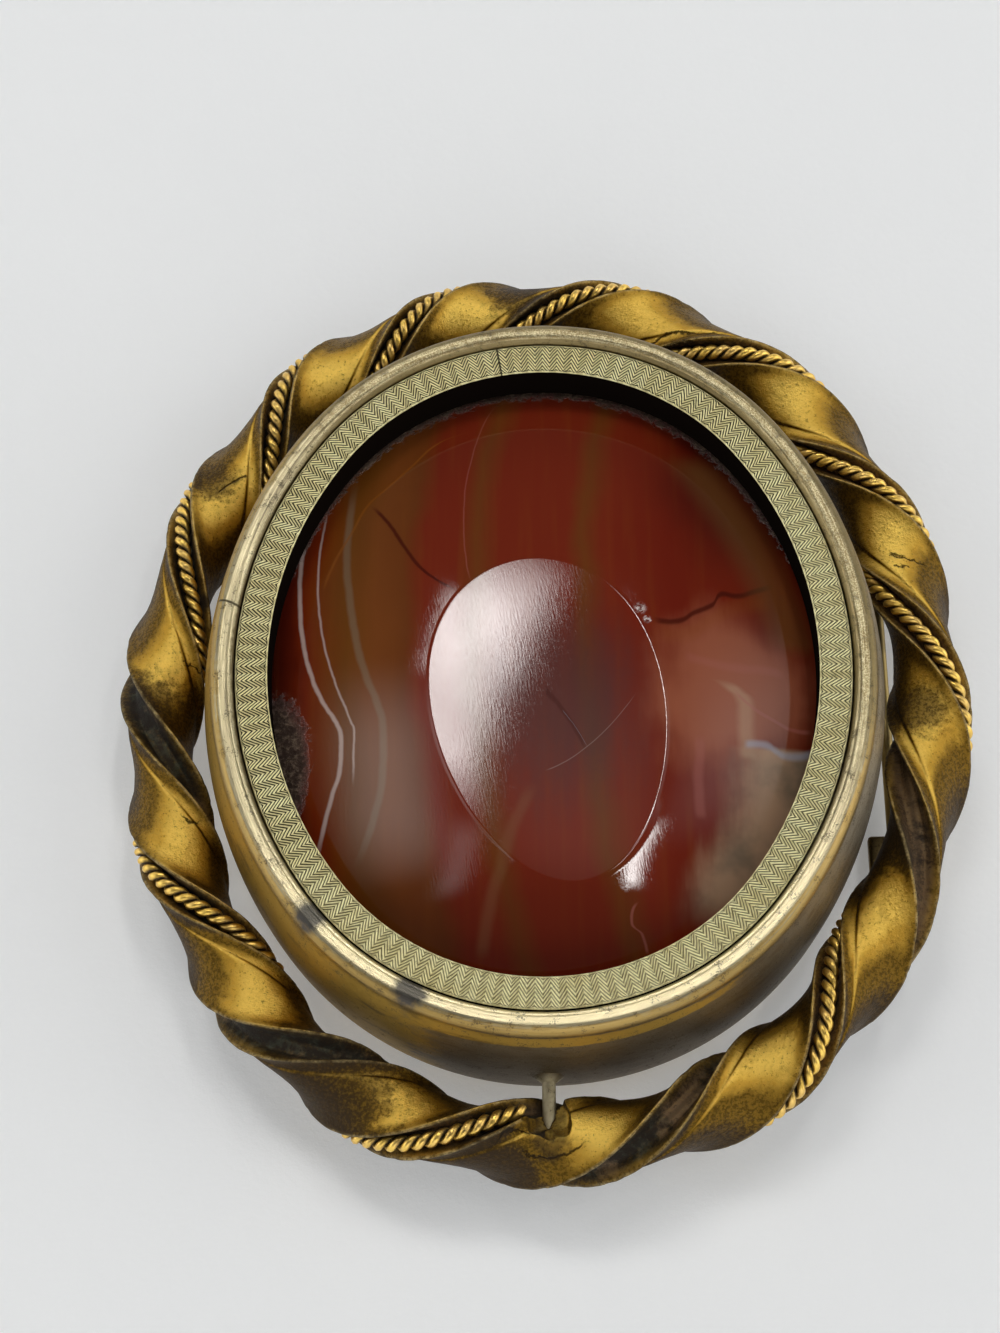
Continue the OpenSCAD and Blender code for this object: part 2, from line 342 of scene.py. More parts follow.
class Graph:
    """The node tree of one material."""

    def __init__(self, name: str) -> None:
        """Makes an empty material.

        Args:
            name: The material's name.
        """
        self.material = bpy.data.materials.new(name)
        self.material.use_nodes = True
        self.tree = self.material.node_tree
        self.tree.nodes.clear()

    @classmethod
    def of_tree(cls, tree: bpy.types.NodeTree) -> Graph:
        """Takes up a tree that is there already, such as the world's.

        Args:
            tree: The node tree.

        Returns:
            A graph that adds nodes to it.
        """
        graph = cls.__new__(cls)
        graph.tree = tree
        return graph

    def node(
        self,
        kind: str,
        settings: Optional[dict[str, Any]] = None,
        inputs: Optional[dict[Any, Any]] = None,
        output: Union[int, str] = 0,
    ) -> Signal:
        """Adds a node.

        Args:
            kind: The node's type.
            settings: Its properties, a ramp's "stops" or a curve's "curve" points.
            inputs: Values or signals by the name or number of the socket.
            output: The output to return.

        Returns:
            That output as a signal.
        """
        made = self.tree.nodes.new(kind)
        for key, value in (settings or {}).items():
            if key == "stops":
                self._set_stops(made.color_ramp, value)
            elif key == "curve":
                self._set_curve(made.mapping, value)
            else:
                setattr(made, key, value)
        for key, value in (inputs or {}).items():
            if isinstance(value, Signal):
                self.tree.links.new(value.socket, made.inputs[key])
            else:
                made.inputs[key].default_value = value
        return Signal(self, made.outputs[output])

    @staticmethod
    def _set_stops(ramp: bpy.types.ColorRamp, stops: Sequence[tuple[float, Sequence[float]]]) -> None:
        """Fills a colour ramp.

        Args:
            ramp: The ramp.
            stops: Position and colour of each stop.
        """
        while len(ramp.elements) < len(stops):
            ramp.elements.new(1)
        for element, (position, colour) in zip(ramp.elements, stops):
            element.position = position
            element.color = (*colour, 1)

    @staticmethod
    def _set_curve(mapping: bpy.types.CurveMapping, points: Sequence[Point]) -> None:
        """Fills a curve that runs from 0 to 1 both ways.

        Args:
            mapping: The curve's mapping.
            points: The curve's points.
        """
        line = mapping.curves[0]
        while len(line.points) < len(points):
            line.points.new(0.5, 0.5)
        for point, place in zip(line.points, points):
            point.location = place
        mapping.update()

    def mix(self, share: Operand, first: Any, second: Any) -> Signal:
        """Mixes two colours."""
        return self.node("ShaderNodeMix", {"data_type": "RGBA"}, {0: share, 6: first, 7: second}, 2)

    def layers(self, under: Any, *coats: tuple[Operand, Any]) -> Signal:
        """Lays colours over each other, each with its share.

        Args:
            under: The lowest colour.
            *coats: Share and colour of each coat, from below.

        Returns:
            The colour.
        """
        for share, colour in coats:
            under = self.mix(share, under, colour)
        return under

    def drawn(self, run: Signal, spots: Sequence[Point]) -> tuple[Signal, Signal]:
        """Draws a line through spots.

        Args:
            run: The place along the line.
            spots: Place along and across of each spot, in order.

        Returns:
            The share of the way along, and the line's place across.
        """
        low, high = spots[0][0], spots[-1][0]
        base = min(rise for _, rise in spots)
        spread = max(max(rise for _, rise in spots) - base, LEAST_SPREAD)
        curve = [((place - low) / (high - low), (rise - base) / spread) for place, rise in spots]
        share = (run - low) / (high - low)
        line = self.node("ShaderNodeFloatCurve", {"curve": curve}, {"Value": share})
        return share, line * spread + base

    def ramp(self, value: Signal, stops: Sequence[tuple[float, Sequence[float]]]) -> Signal:
        """Reads a colour from a ramp."""
        return self.node("ShaderNodeValToRGB", {"stops": stops}, {0: value})

    def place(self) -> Signal:
        """The point on the object, in millimetres."""
        where = self.node("ShaderNodeTexCoord", output="Object")
        return self.node("ShaderNodeVectorMath", {"operation": "SCALE"}, {0: where, "Scale": 1 / MM})

    def parts(self, vector: Signal) -> tuple[Signal, Signal, Signal]:
        """Splits a vector into its three numbers.

        Args:
            vector: The vector.

        Returns:
            Its x, y and z.
        """
        first = self.node("ShaderNodeSeparateXYZ", inputs={0: vector})
        outputs = first.socket.node.outputs
        return tuple(Signal(self, outputs[axis]) for axis in range(3))

    def vector(self, x: Operand, y: Operand, z: Operand) -> Signal:
        """Joins three numbers into a vector."""
        return self.node("ShaderNodeCombineXYZ", inputs={0: x, 1: y, 2: z})

    def length(self, vector: Signal) -> Signal:
        """Length of a vector."""
        return self.node("ShaderNodeVectorMath", {"operation": "LENGTH"}, {0: vector}, "Value")

    def noise(self, where: Signal, scale: float, detail: float = 3, rough: float = 0.55) -> Signal:
        """Cloudy noise around 0.5."""
        values = {"Vector": where, "Scale": scale, "Detail": detail, "Roughness": rough}
        return self.node("ShaderNodeTexNoise", inputs=values)

    def cells(self, where: Signal, scale: float) -> Signal:
        """Distance to the nearest of scattered points."""
        return self.node("ShaderNodeTexVoronoi", inputs={"Vector": where, "Scale": scale})

    def near(self, x: Signal, y: Signal, centre: Point, radius: float, ragged: Operand = 0.0) -> Signal:
        """Is 1 near a place and falls to 0 towards a radius.

        Args:
            x: The place to the right.
            y: The place upward.
            centre: The middle of the spot, in millimetres.
            radius: How far it reaches.
            ragged: What the distance is shifted by, so that the spot isn't round.

        Returns:
            The mask.
        """
        distance = self.length(self.vector(x - centre[0], y - centre[1], 0.0))
        return (distance + ragged).fall(radius * SPOT_CORE, radius)

    def uv(self) -> tuple[Signal, Signal]:
        """The two numbers of the piece's own map."""
        across, along, _ = self.parts(self.node("ShaderNodeUVMap"))
        return across, along

    def stored(self, name: str) -> Signal:
        """A value that the piece's mesh holds."""
        return self.node("ShaderNodeAttribute", {"attribute_name": name}, output="Fac")

    def bump(self, height: Signal, depth: float) -> Signal:
        """Turns a relief from 0 to 1 into a normal, by its depth in metres."""
        values = {"Height": height, "Strength": 1.0, "Distance": depth}
        return self.node("ShaderNodeBump", inputs=values)

    def surface(self, **values: Any) -> bpy.types.Material:
        """Ends the graph in a shader, with spaces in socket names written as underscores.

        Args:
            **values: Values or signals by the name of the socket.

        Returns:
            The material.
        """
        named = {key.replace("_", " "): value for key, value in values.items()}
        shader = self.node("ShaderNodeBsdfPrincipled", inputs=named)
        end = self.tree.nodes.new("ShaderNodeOutputMaterial")
        self.tree.links.new(shader.socket, end.inputs["Surface"])
        return self.material


# Shapes shared by the pieces


def flowing(start: float, end: float, slopes: Point, part: float) -> float:
    """Passes smoothly from one value to the next.

    Args:
        start: The value at 0.
        end: The value at 1.
        slopes: The slopes at 0 and at 1.
        part: Where it is read, from 0 to 1.

    Returns:
        The value there.
    """
    square, cube = part * part, part * part * part
    return (
        start * (2 * cube - 3 * square + 1)
        + end * (3 * square - 2 * cube)
        + slopes[0] * (cube - 2 * square + part)
        + slopes[1] * (cube - square)
    )


@dataclass(frozen=True)
class Oval:
    """An oval of four arcs.

    The centres of neighbouring arcs make a triangle of 3, 4 and 5 parts with the middle.
    """

    half_width: float
    half_length: float

    side_angle = math.atan2(3, 4)

    @property
    def side_centre(self) -> float:
        """Distance of the side arcs' centres from the middle."""
        return 2 * (self.half_length - self.half_width)

    @property
    def end_centre(self) -> float:
        """Distance of the end arcs' centres from the middle."""
        return 1.5 * (self.half_length - self.half_width)

    @property
    def side_radius(self) -> float:
        """Radius of the side arcs."""
        return self.half_width + self.side_centre

    @property
    def end_radius(self) -> float:
        """Radius of the end arcs."""
        return self.half_length - self.end_centre

    @property
    def side_length(self) -> float:
        """Length of half a side arc."""
        return self.side_radius * self.side_angle

    @property
    def quarter(self) -> float:
        """Length of a quarter of the oval."""
        return self.side_length + self.end_radius * (math.pi / 2 - self.side_angle)

    def direction(self, distance: float) -> float:
        """Direction that faces outward at a distance from the right-hand side, anticlockwise.

        Args:
            distance: The distance along the oval.

        Returns:
            The direction in radians.
        """
        turn = math.floor(distance / self.quarter)
        rest = distance - turn * self.quarter
        if turn % 2:
            return (turn + 1) * math.pi / 2 - self._quarter_direction(self.quarter - rest)
        return turn * math.pi / 2 + self._quarter_direction(rest)

    def _quarter_direction(self, distance: float) -> float:
        """Direction within the first quarter.

        Args:
            distance: The distance along the oval.

        Returns:
            The direction in radians.
        """
        if distance < self.side_length:
            return distance / self.side_radius
        return self.side_angle + (distance - self.side_length) / self.end_radius

    def point(self, direction: float, out: float = 0.0) -> Vector:
        """Point of the oval that faces a direction, moved outward.

        Args:
            direction: The direction in radians.
            out: How far outward.

        Returns:
            The point.
        """
        run, rise = math.cos(direction), math.sin(direction)
        if abs(rise) > math.sin(self.side_angle):
            radius = self.end_radius + out
            return Vector((radius * run, radius * rise + math.copysign(self.end_centre, rise), 0))
        radius = self.side_radius + out
        return Vector((radius * run - math.copysign(self.side_centre, run), radius * rise, 0))

    def arcs(self) -> list[tuple[Vector, float]]:
        """The arcs in order, from the right-hand side anticlockwise.

        Returns:
            Centre and angle of each arc, with the first one halved.
        """
        side, end = self.side_centre, self.end_centre
        half, cap = self.side_angle, math.pi - 2 * self.side_angle
        return [
            (Vector((-side, 0, 0)), half),
            (Vector((0, end, 0)), cap),
            (Vector((side, 0, 0)), 2 * half),
            (Vector((0, -end, 0)), cap),
            (Vector((-side, 0, 0)), half),
        ]

    def locate(self, x: float, y: float, steps: Sequence[int]) -> tuple[float, float]:
        """Finds a point by the steps of a sweep.

        Args:
            x: The point's place to the right.
            y: The point's place upward.
            steps: The steps of each arc in the sweep.

        Returns:
            The count of steps from the right-hand side and the distance outside the oval.
        """
        side_view = math.atan2(abs(y), abs(x) + self.side_centre)
        if side_view <= self.side_angle:
            direction = side_view
            out = math.hypot(abs(x) + self.side_centre, y) - self.side_radius
        else:
            direction = math.atan2(abs(y) - self.end_centre, abs(x))
            out = math.hypot(x, abs(y) - self.end_centre) - self.end_radius
        if x < 0:
            direction = math.pi - direction
        if y < 0:
            direction = 2 * math.pi - direction
        count = 0.0
        for (_, angle), arc_steps in zip(self.arcs(), steps):
            if direction <= angle:
                return count + arc_steps * direction / angle, out
            direction -= angle
            count += arc_steps
        return count, out

    def sweep(self, piece: Shape, steps: Sequence[int]) -> None:
        """Spins a profile that stands at the right-hand side round all the arcs and closes the ring.

        Args:
            piece: The profile.
            steps: The steps of each arc.
        """

        def spin() -> None:
            """Spins from arc to arc."""
            for (centre, angle), arc_steps in zip(self.arcs(), steps):
                bpy.ops.mesh.spin(steps=arc_steps, angle=-angle, center=centre, axis=(0, 0, 1))
            bpy.ops.mesh.select_all(action="SELECT")
            bpy.ops.mesh.remove_doubles(threshold=SEAM_GAP)
            face_outward()

        in_edit_mode(piece, spin)


@dataclass(frozen=True)
class TwistLine:
    """The strip's middle line, and where each of its grooves comes round to the outside."""

    oval: Oval = Oval(27.0, 31.6)
    height: float = 5.8
    radius: float = 3.0
    grooves: tuple[float, ...] = (10, 23, 37, 50, 62, 74.5, 89, 102, 114.5, 126.5, 139.5, 152.5, 165, 180)
    span: float = 184.0

    @property
    def count(self) -> int:
        """How many grooves the frame shows."""
        return len(self.grooves)

    def _groove_distance(self, number: int) -> float:
        """Distance of a numbered groove along the line."""
        lap, index = divmod(number, self.count)
        return (self.grooves[index] + lap * self.span) * 4 * self.oval.quarter / self.span

    def distance(self, turn: float) -> float:
        """Distance along the line at a count of grooves.

        Args:
            turn: The count of grooves.

        Returns:
            The distance in millimetres.
        """
        first = math.floor(turn)
        part = turn - first
        before, start, end, after = (self._groove_distance(first + k) for k in (-1, 0, 1, 2))
        pace_start, pace_end = (end - before) / 2, (after - start) / 2
        return flowing(start, end, (pace_start, pace_end), part)

    def point(self, turn: float, radius: float, angle: float) -> Vector:
        """Point of the strip.

        Args:
            turn: The count of grooves.
            radius: The distance from the middle line.
            angle: The angle from the groove in radians.

        Returns:
            The point.
        """
        direction = self.oval.direction(self.distance(turn))
        middle = self.oval.point(direction)
        tilt = math.pi * turn + angle
        out = Vector((math.cos(direction), math.sin(direction), 0))
        rise = Vector((0, 0, self.height + radius * math.sin(tilt)))
        return middle + radius * math.cos(tilt) * out + rise


OPENING = Oval(18.75, 22.45)
TWIST = TwistLine()
PIN_HEIGHT = 6.7


def poly_curve(name: str, points: Sequence[Vector], closed: bool) -> Shape:
    """Draws a curve through points.

    Args:
        name: The curve's name.
        points: Its points, in millimetres.
        closed: Whether its ends meet.

    Returns:
        The curve.
    """
    bpy.ops.curve.primitive_nurbs_path_add()
    piece = bpy.context.object
    piece.name = name
    piece.data.splines.clear()
    line = piece.data.splines.new("POLY")
    line.points.add(len(points) - 1)
    for place, point in zip(line.points, points):
        place.co = (*point, 1)
    line.use_cyclic_u = closed
    piece.data.dimensions = "3D"
    return piece


def to_mesh(piece: Shape) -> Shape:
    """Turns a curve into a mesh.

    Args:
        piece: The curve.

    Returns:
        The mesh.
    """
    select_only(piece)
    bpy.ops.object.convert(target="MESH")
    return bpy.context.object


def store(piece: Shape, name: str, values: Sequence[float]) -> None:
    """Keeps one number a vertex on the mesh, for its material."""
    layer = piece.data.attributes.new(name, "FLOAT", "POINT")
    layer.data.foreach_set("value", values)


# Finishes


class Finish:
    """A metal, stone or paper finish, which makes one material."""

    def make(self) -> bpy.types.Material:
        """Builds the material."""
        raise NotImplementedError

    def dress(self, piece: Shape) -> None:
        """Gives a piece this finish and nothing else."""
        piece.data.materials.clear()
        piece.data.materials.append(self.make())


@dataclass(frozen=True)
class GiltStrip(Finish):
    """Worn fire gilding on the twisted strip: brown patina, pale worn lips, grimy grooves, a painted
    highlight where the bellies face up and in, and painted shade where they face away.
    """

    gold: Colour = (0.96, 0.65, 0.13, 1)
    deep_gold: Colour = (0.62, 0.35, 0.045, 1)
    brown: Colour = (0.17, 0.094, 0.013, 1)
    patina_and_shade: Colour = (0.05, 0.025, 0.004, 1)
    worn_base: Colour = (0.58, 0.44, 0.20, 1)
    grime: Colour = (0.018, 0.011, 0.005, 1)
    groove_brown: Colour = (0.22, 0.13, 0.06, 1)
    verdigris: Colour = (0.05, 0.055, 0.036, 1)
    # Places of the darkest patina, and how far it reaches.
    dark_spots: tuple[tuple[Point, float], ...] = (
        ((-13.5, -28.0), 6.0),
        ((-23.7, 16.8), 2.6),
        ((-27.5, -0.5), 3.4),
        ((-3.5, -33.4), 3.4),
        ((26.0, -2.0), 3.0),
        ((-1.4, 31.7), 3.2),
        ((24.0, -12.0), 3.0),
    )
    # Courses of the fine cracks in the gilding.
    cracks: tuple[tuple[Point, ...], ...] = (
        ((7.5, 27.8), (8.6, 28.1), (10.2, 28.6), (11.9, 28.3), (13.4, 28.6)),
        ((9.0, 27.3), (10.4, 27.6), (11.6, 27.5)),
        ((24.7, 10.1), (25.8, 9.7), (27.2, 9.2)),
        ((24.9, 9.0), (26.1, 8.9)),
        ((-25.4, 2.7), (-24.1, 2.1)),
        ((-25.0, -9.0), (-24.2, -9.5), (-23.6, -9.2)),
        ((-12.4, 26.2), (-11.0, 27.5), (-9.4, 28.4)),
        ((-23.4, 15.9), (-22.4, 16.7), (-21.3, 17.2)),
        ((-1.9, -32.2), (-0.4, -32.9), (1.0, -32.7), (2.3, -31.9)),
        ((-3.3, -32.0), (-2.2, -31.3), (-1.2, -31.6)),
    )
    crack_half_width: float = 0.025
    crack_soft: float = 0.1
    # Heights between which the darkening of the lower half fades.
    low_heights: Point = (4.8, 8.2)
    # Parts of a groove, by their share of a turn from its middle.
    deep_ends: Point = (0.01, 0.05)
    floor_ends: Point = (0.1, 0.132)
    lip_starts: Point = (0.118, 0.134)
    lip_ends: Point = (0.148, 0.165)
    beside_ends: Point = (0.15, 0.24)
    # The crease between two grooves: its place, half width and softness, as shares of half a turn.
    crease: Triple = (0.752, 0.004, 0.016)
    # Middle and reach of the two torn places.
    left_tear: tuple[Point, float] = ((-24.1, 7.3), 0.75)
    pin_tear: tuple[Point, float] = ((0.1, -31.9), 1.6)
    # Where the grimy stretch under the lower pin starts and ends along the brooch.
    stretch_starts: Point = (-32.6, -31.9)
    stretch_ends: Point = (-28.6, -28.0)
    # Depth of the surface's relief in metres.
    relief_depth: float = 0.00008

    def make(self) -> bpy.types.Material:
        """Builds the material from the strip's own map.

        Returns:
            The material.
        """
        graph = Graph("gilt_strip")
        where = graph.place()
        x, y, height = graph.parts(where)
        across, along = graph.uv()
        half = (across * 2).fraction()
        from_groove = 0.5 - abs(half - 0.5)
        clouds = graph.noise(where, 0.33, 3)
        blotches = graph.noise(where, 1.3, 5, 0.62)
        specks = graph.noise(where, 4.5, 5, 0.72)
        brushing = graph.noise(graph.vector(across * 46, along * 420, 0.0), 1.0, 4, 0.7)
        spots: Operand = 0.0
        for centre, reach in self.dark_spots:
            spots = graph.near(x, y, centre, reach, (blotches - 0.5) * reach * 0.9) + spots
        low = height.fall(*self.low_heights)
        floor = from_groove.fall(*self.floor_ends)
        deepest = from_groove.fall(*self.deep_ends)
        lip = from_groove.step(*self.lip_starts) * from_groove.fall(*self.lip_ends)
        crease = half.ridge(*self.crease) * blotches.step(0.42, 0.56)
        beside = from_groove.fall(*self.beside_ends) * (1 - floor)
        # The facing drives painted light. The strip is gold where it faces up and in, a painted
        # highlight. It is browned and darkened where it turns away, painted shade. It is also darker in
        # the lower half. All of this lies over the real patina of the noise and the spots.
        facing = graph.stored("facing")
        grain = blotches * 0.35 + specks * 0.4 + brushing * 0.45 - 0.6
        browned = (facing.step(0.62, 0.99) + grain * 1.3 - spots * 0.45 - beside * 0.3).fall(0.2, 1.0)
        darkened = facing.fall(0.1, 0.9) + grain * 1.5 + spots * 0.8 + low * 0.2 + beside * 0.25
        darkened = darkened.step(0.45, 1.25)
        tone = (clouds * 0.5 + specks * 0.6 + brushing * 0.4).step(0.6, 1.0)
        # Painted highlight: the bright gold core where the strip faces most nearly up and in.
        highlight_core = (facing + grain * 0.1).step(0.88, 0.995)
        bared = clouds * 0.8 + blotches * 0.5 + x.step(0.0, 24.0) * 0.2
        dirt = graph.layers(
            self.grime,
            ((blotches * 0.7 + specks * 0.3).step(0.46, 0.6), self.verdigris),
            (bared.step(0.64, 0.8) * 0.75, self.groove_brown),
        )
        soil = floor * (0.72 + 0.5 * specks + deepest * 0.1)
        pits = (graph.cells(where, 0.9) + specks * 0.05).fall(0.04, 0.08)
        freckles = (specks + brushing * 0.3 + spots * 0.05 + browned * 0.12).step(0.72, 0.84)
        cracked = self._cracked(graph, where)
        torn = self._torn(graph, where, blotches, specks)
        colour = graph.layers(
            self.gold,
            ((tone * 0.7 + (1 - highlight_core) * 0.75).lesser(0.95), self.deep_gold),
            (browned * 0.92, self.brown),
            (darkened * 0.92, self.patina_and_shade),
            (lip * (0.1 + (blotches - 0.35) * 1.9).greater(0.0).lesser(0.9), self.worn_base),
            (crease * 0.2, self.grime),
            (soil.lesser(0.98), dirt),
            (floor * deepest * 0.35, self.grime),
            (pits * 0.8, self.grime),
            (freckles * 0.55, self.grime),
            (cracked * 0.85, self.grime),
            (torn * 0.9, self.grime),
        )
        relief = specks * 0.8 + brushing * 0.7 + blotches * 0.9 - pits * 0.6 - cracked * 1.2
        return graph.surface(
            Base_Color=colour,
            Metallic=1 - darkened * 0.3 - soil.lesser(1.0) * 0.5 - torn * 0.3,
            Roughness=0.27 + browned * 0.13 + darkened * 0.12 + soil.lesser(1.0) * 0.2 + specks * 0.1,
            Normal=graph.bump(relief, self.relief_depth),
        )

    def _cracked(self, graph: Graph, where: Signal) -> Signal:
        """Is 1 on the fine cracks in the gilding.

        Args:
            graph: The graph of the finish.
            where: The point on the object.

        Returns:
            The mask.
        """
        x, y, _ = graph.parts(where)
        wander = (graph.noise(where, 2.2, 3) - 0.5) * 0.7
        cracked: Operand = 0.0
        for course in self.cracks:
            crack = Vein(Course.LEVEL, self.crack_half_width, self.crack_soft, 1.0, self.grime, course)
            cracked = crack.mask(graph, x + wander, y + wander).greater(cracked)
        return cracked

    def _torn(self, graph: Graph, where: Signal, blotches: Signal, specks: Signal) -> Signal:
        """Is 1 where the strip is torn and grimy.

        Args:
            graph: The graph of the finish.
            where: The point on the object.
            blotches: Broad noise.
            specks: Fine noise.

        Returns:
            The mask.
        """
        x, y, _ = graph.parts(where)
        torn = graph.near(x, y, *self.left_tear, (specks - 0.5) * 1.2)
        under_pin = x.ridge(0.1, 0.8, 0.5) * y.fall(*self.stretch_ends) * y.step(*self.stretch_starts)
        torn = torn.greater(under_pin * (blotches * 1.1 + specks * 0.4).lesser(0.85))
        return torn.greater(graph.near(x, y, *self.pin_tear, (blotches - 0.5) * 3.0) * 0.6)


@dataclass(frozen=True)
class GiltWire(Finish):
    """Gilt wire of two strands, bright on the crests and dark where the strands meet, with grime and
    painted shade.
    """

    name: str = "gilt_wire"
    gold: Colour = (1.0, 0.66, 0.14, 1)
    worn_base: Colour = (0.88, 0.58, 0.17, 1)
    grime: Colour = (0.02, 0.012, 0.005, 1)
    relief_depth: float = 0.00003

    def make(self) -> bpy.types.Material:
        """Builds the material from the stored share of the way out to the wire's crest.

        Returns:
            The material.
        """
        graph = Graph(self.name)
        where = graph.place()
        crest = graph.stored("crest")
        blotches = graph.noise(where, 0.7, 4)
        specks = graph.noise(where, 6.0, 3)
        out_of_crevice = (crest + specks * 0.3 - 0.15).step(0.6, 0.98)
        colour = graph.mix(blotches.step(0.4, 0.62), self.gold, self.worn_base)
        # Towards the crevices the colour goes to the grime colour: grime and painted shade where the
        # strands meet.
        colour = graph.mix(out_of_crevice, self.grime, colour)
        return graph.surface(
            Base_Color=colour,
            Metallic=0.35 + out_of_crevice * 0.65,
            Roughness=0.55 - out_of_crevice * 0.25 + specks * 0.08,
            Normal=graph.bump(specks, self.relief_depth),
        )


@dataclass(frozen=True)
class CaseBrass(Finish):
    """The drum's brass: gilding left at the lower left, grey where it has worn off, and a pale rim."""

    gilt: Colour = (0.42, 0.26, 0.05, 1)
    brown: Colour = (0.10, 0.06, 0.02, 1)
    grey: Colour = (0.43, 0.37, 0.27, 1)
    rim: Colour = (0.50, 0.43, 0.26, 1)
    rim_bright: Colour = (0.72, 0.64, 0.40, 1)
    rim_grey: Colour = (0.27, 0.23, 0.15, 1)
    # Cream of the painted highlight on the bead at the bottom.
    rim_painted_highlight: Colour = (1.0, 0.87, 0.54, 1)
    rim_gilt: Colour = (0.40, 0.25, 0.06, 1)
    rim_dull: Colour = (0.24, 0.18, 0.08, 1)
    pin_pale: Colour = (0.62, 0.54, 0.36, 1)
    tarnish: Colour = (0.05, 0.05, 0.055, 1)
    grime: Colour = (0.04, 0.03, 0.015, 1)
    stain_places: tuple[Point, ...] = ((-8.76, -23.33), (-15.32, -18.2))
    stain_size: float = 1.5
    # Distances from the drum's middle height: where its foot's grime fades, and where the bead starts.
    foot_ends: Point = (3.2, 5.2)
    rim_starts: Point = (6.0, 6.3)
    # Distance from the brooch's middle where the pins start.
    pin_starts: Point = (27.3, 27.8)
    # Where the bead's notch ends, to the right.
    notch_ends: Point = (-20.4, -20.2)
    relief_depth: float = 0.00002

    def make(self) -> bpy.types.Material:
        """Builds the material from the point on the object and the stored distance outside the opening.

        Returns:
            The material.
        """
        graph = Graph("case_brass")
        where = graph.place()
        x, y, z = graph.parts(where)
        height = abs(z - PIN_HEIGHT)
        around = graph.node("ShaderNodeMath", {"operation": "ARCTAN2"}, {0: y, 1: x}) / (2 * math.pi)
        out = graph.stored("out")
        blotches = graph.noise(where, 1.4, 4, 0.6)
        specks = graph.noise(where, 9.0, 3, 0.6)
        streaks = graph.noise(graph.vector(out * 7.0, height * 7.0, around * 24.0), 1.0, 3, 0.6)
        on_rim = (height + blotches * 0.5).step(*self.rim_starts)
        on_pin = abs(y).step(*self.pin_starts)
        seam = (y + x * 0.35 + 3.09).ridge(0.0, 0.05, 0.08) * x.fall(*self.notch_ends) * on_rim
        foot = (height + specks * 0.3).fall(*self.foot_ends)
        spots = (blotches * 0.6 + specks * 0.5).step(0.61, 0.68)
        stained: Operand = 0.0
        for stain in self.stain_places:
            stained = graph.near(x, y, stain, self.stain_size, (blotches - 0.5) * 1.5) + stained
        colour = graph.layers(
            self._wall(graph, around, height, blotches, specks),
            (on_rim, self._rim(graph, around, y, out, streaks, blotches, specks)),
            (seam * 0.85, self.grime),
            (on_pin, graph.mix(blotches.step(0.4, 0.65), self.pin_pale, self.rim)),
            (foot * 0.2, self.grime),
            (spots * 0.6, self.grime),
            (stained.lesser(0.9), self.tarnish),
        )
        relief = specks * (0.4 + on_rim * 0.8) + blotches + streaks * on_rim * 1.5 - seam
        return graph.surface(
            Base_Color=colour,
            Metallic=1.0 - spots * 0.4 - stained.lesser(1.0) * 0.3,
            Roughness=0.46 - on_rim * 0.17 + specks * 0.14 + spots * 0.2 + on_pin * 0.12,
            Normal=graph.bump(relief, self.relief_depth),
        )

    def _wall(
        self, graph: Graph, around: Signal, height: Signal, blotches: Signal, specks: Signal
    ) -> Signal:
        """Colours the wall, gilt at the lower left and in a stripe under the bead.

        Args:
            graph: The graph of the finish.
            around: The angle round the drum, as a share of a turn.
            height: The distance from the pins' height.
            blotches: Broad noise.
            specks: Fine noise.

        Returns:
            The colour.
        """
        gilt_side = around.ridge(-0.43, 0.1, 0.08) + around.ridge(0.5, 0.08, 0.08)
        stripe = height.ridge(5.3, 0.25, 0.5) * (1 - around.step(-0.24, -0.12) * 0.8)
        smears = graph.noise(graph.vector(around * 42.0, height * 1.1, blotches), 1.0, 4, 0.65)
        patchy = 0.1 + smears * 1.1 + blotches * 0.5
        gilding = ((gilt_side * 0.9 + stripe * 1.1) * patchy + specks * 0.2).step(0.5, 0.8)
        return graph.layers(
            self.grey,
            (around.ridge(-0.25, 0.08, 0.12) * 0.75, self.brown),
            ((smears * 0.7 + specks * 0.4).step(0.5, 0.7) * 0.5, self.brown),
            (gilding, self.gilt),
            (smears.fall(0.34, 0.46) * 0.5, self.brown),
        )

    def _rim(
        self,
        graph: Graph,
        around: Signal,
        y: Signal,
        out: Signal,
        streaks: Signal,
        blotches: Signal,
        specks: Signal,
    ) -> Signal:
        """Colours the bead, gilt outside, brown inside, dull at the top and with a painted highlight at
        the bottom.

        Args:
            graph: The graph of the finish.
            around: The angle round the drum, as a share of a turn.
            y: The place upward.
            out: The distance outside the opening.
            streaks: Noise drawn out across the bead.
            blotches: Broad noise.
            specks: Fine noise.

        Returns:
            The colour.
        """
        outer_side = (out + (streaks - 0.5) * 1.2 + (blotches - 0.5) * 0.5).step(3.3, 3.6)
        inner_side = (out + (blotches - 0.5) * 0.5).fall(2.35, 2.6)
        tarnished = around.ridge(0.16, 0.16, 0.12) * 0.5 + blotches * 0.5 + specks * 0.25
        tarnished = tarnished.step(0.45, 0.95)
        crest = out.ridge(3.0, 0.12, 0.4) * (specks * 0.8 + streaks * 0.5).step(0.55, 0.8)
        # Painted highlight: the bead's crest turns cream towards the bottom.
        painted_shine = y.fall(-20.0, -8.0) * out.ridge(2.85, 0.35, 0.3)
        return graph.layers(
            self.rim,
            (streaks.step(0.5, 0.62), self.rim_bright),
            (streaks.fall(0.36, 0.46) * 0.8, self.rim_grey),
            (outer_side * 0.85, self.rim_gilt),
            (inner_side * 0.75, self.brown),
            (tarnished, graph.mix(crest, self.rim_dull, self.rim_bright)),
            (painted_shine * 0.75, self.rim_painted_highlight),
        )


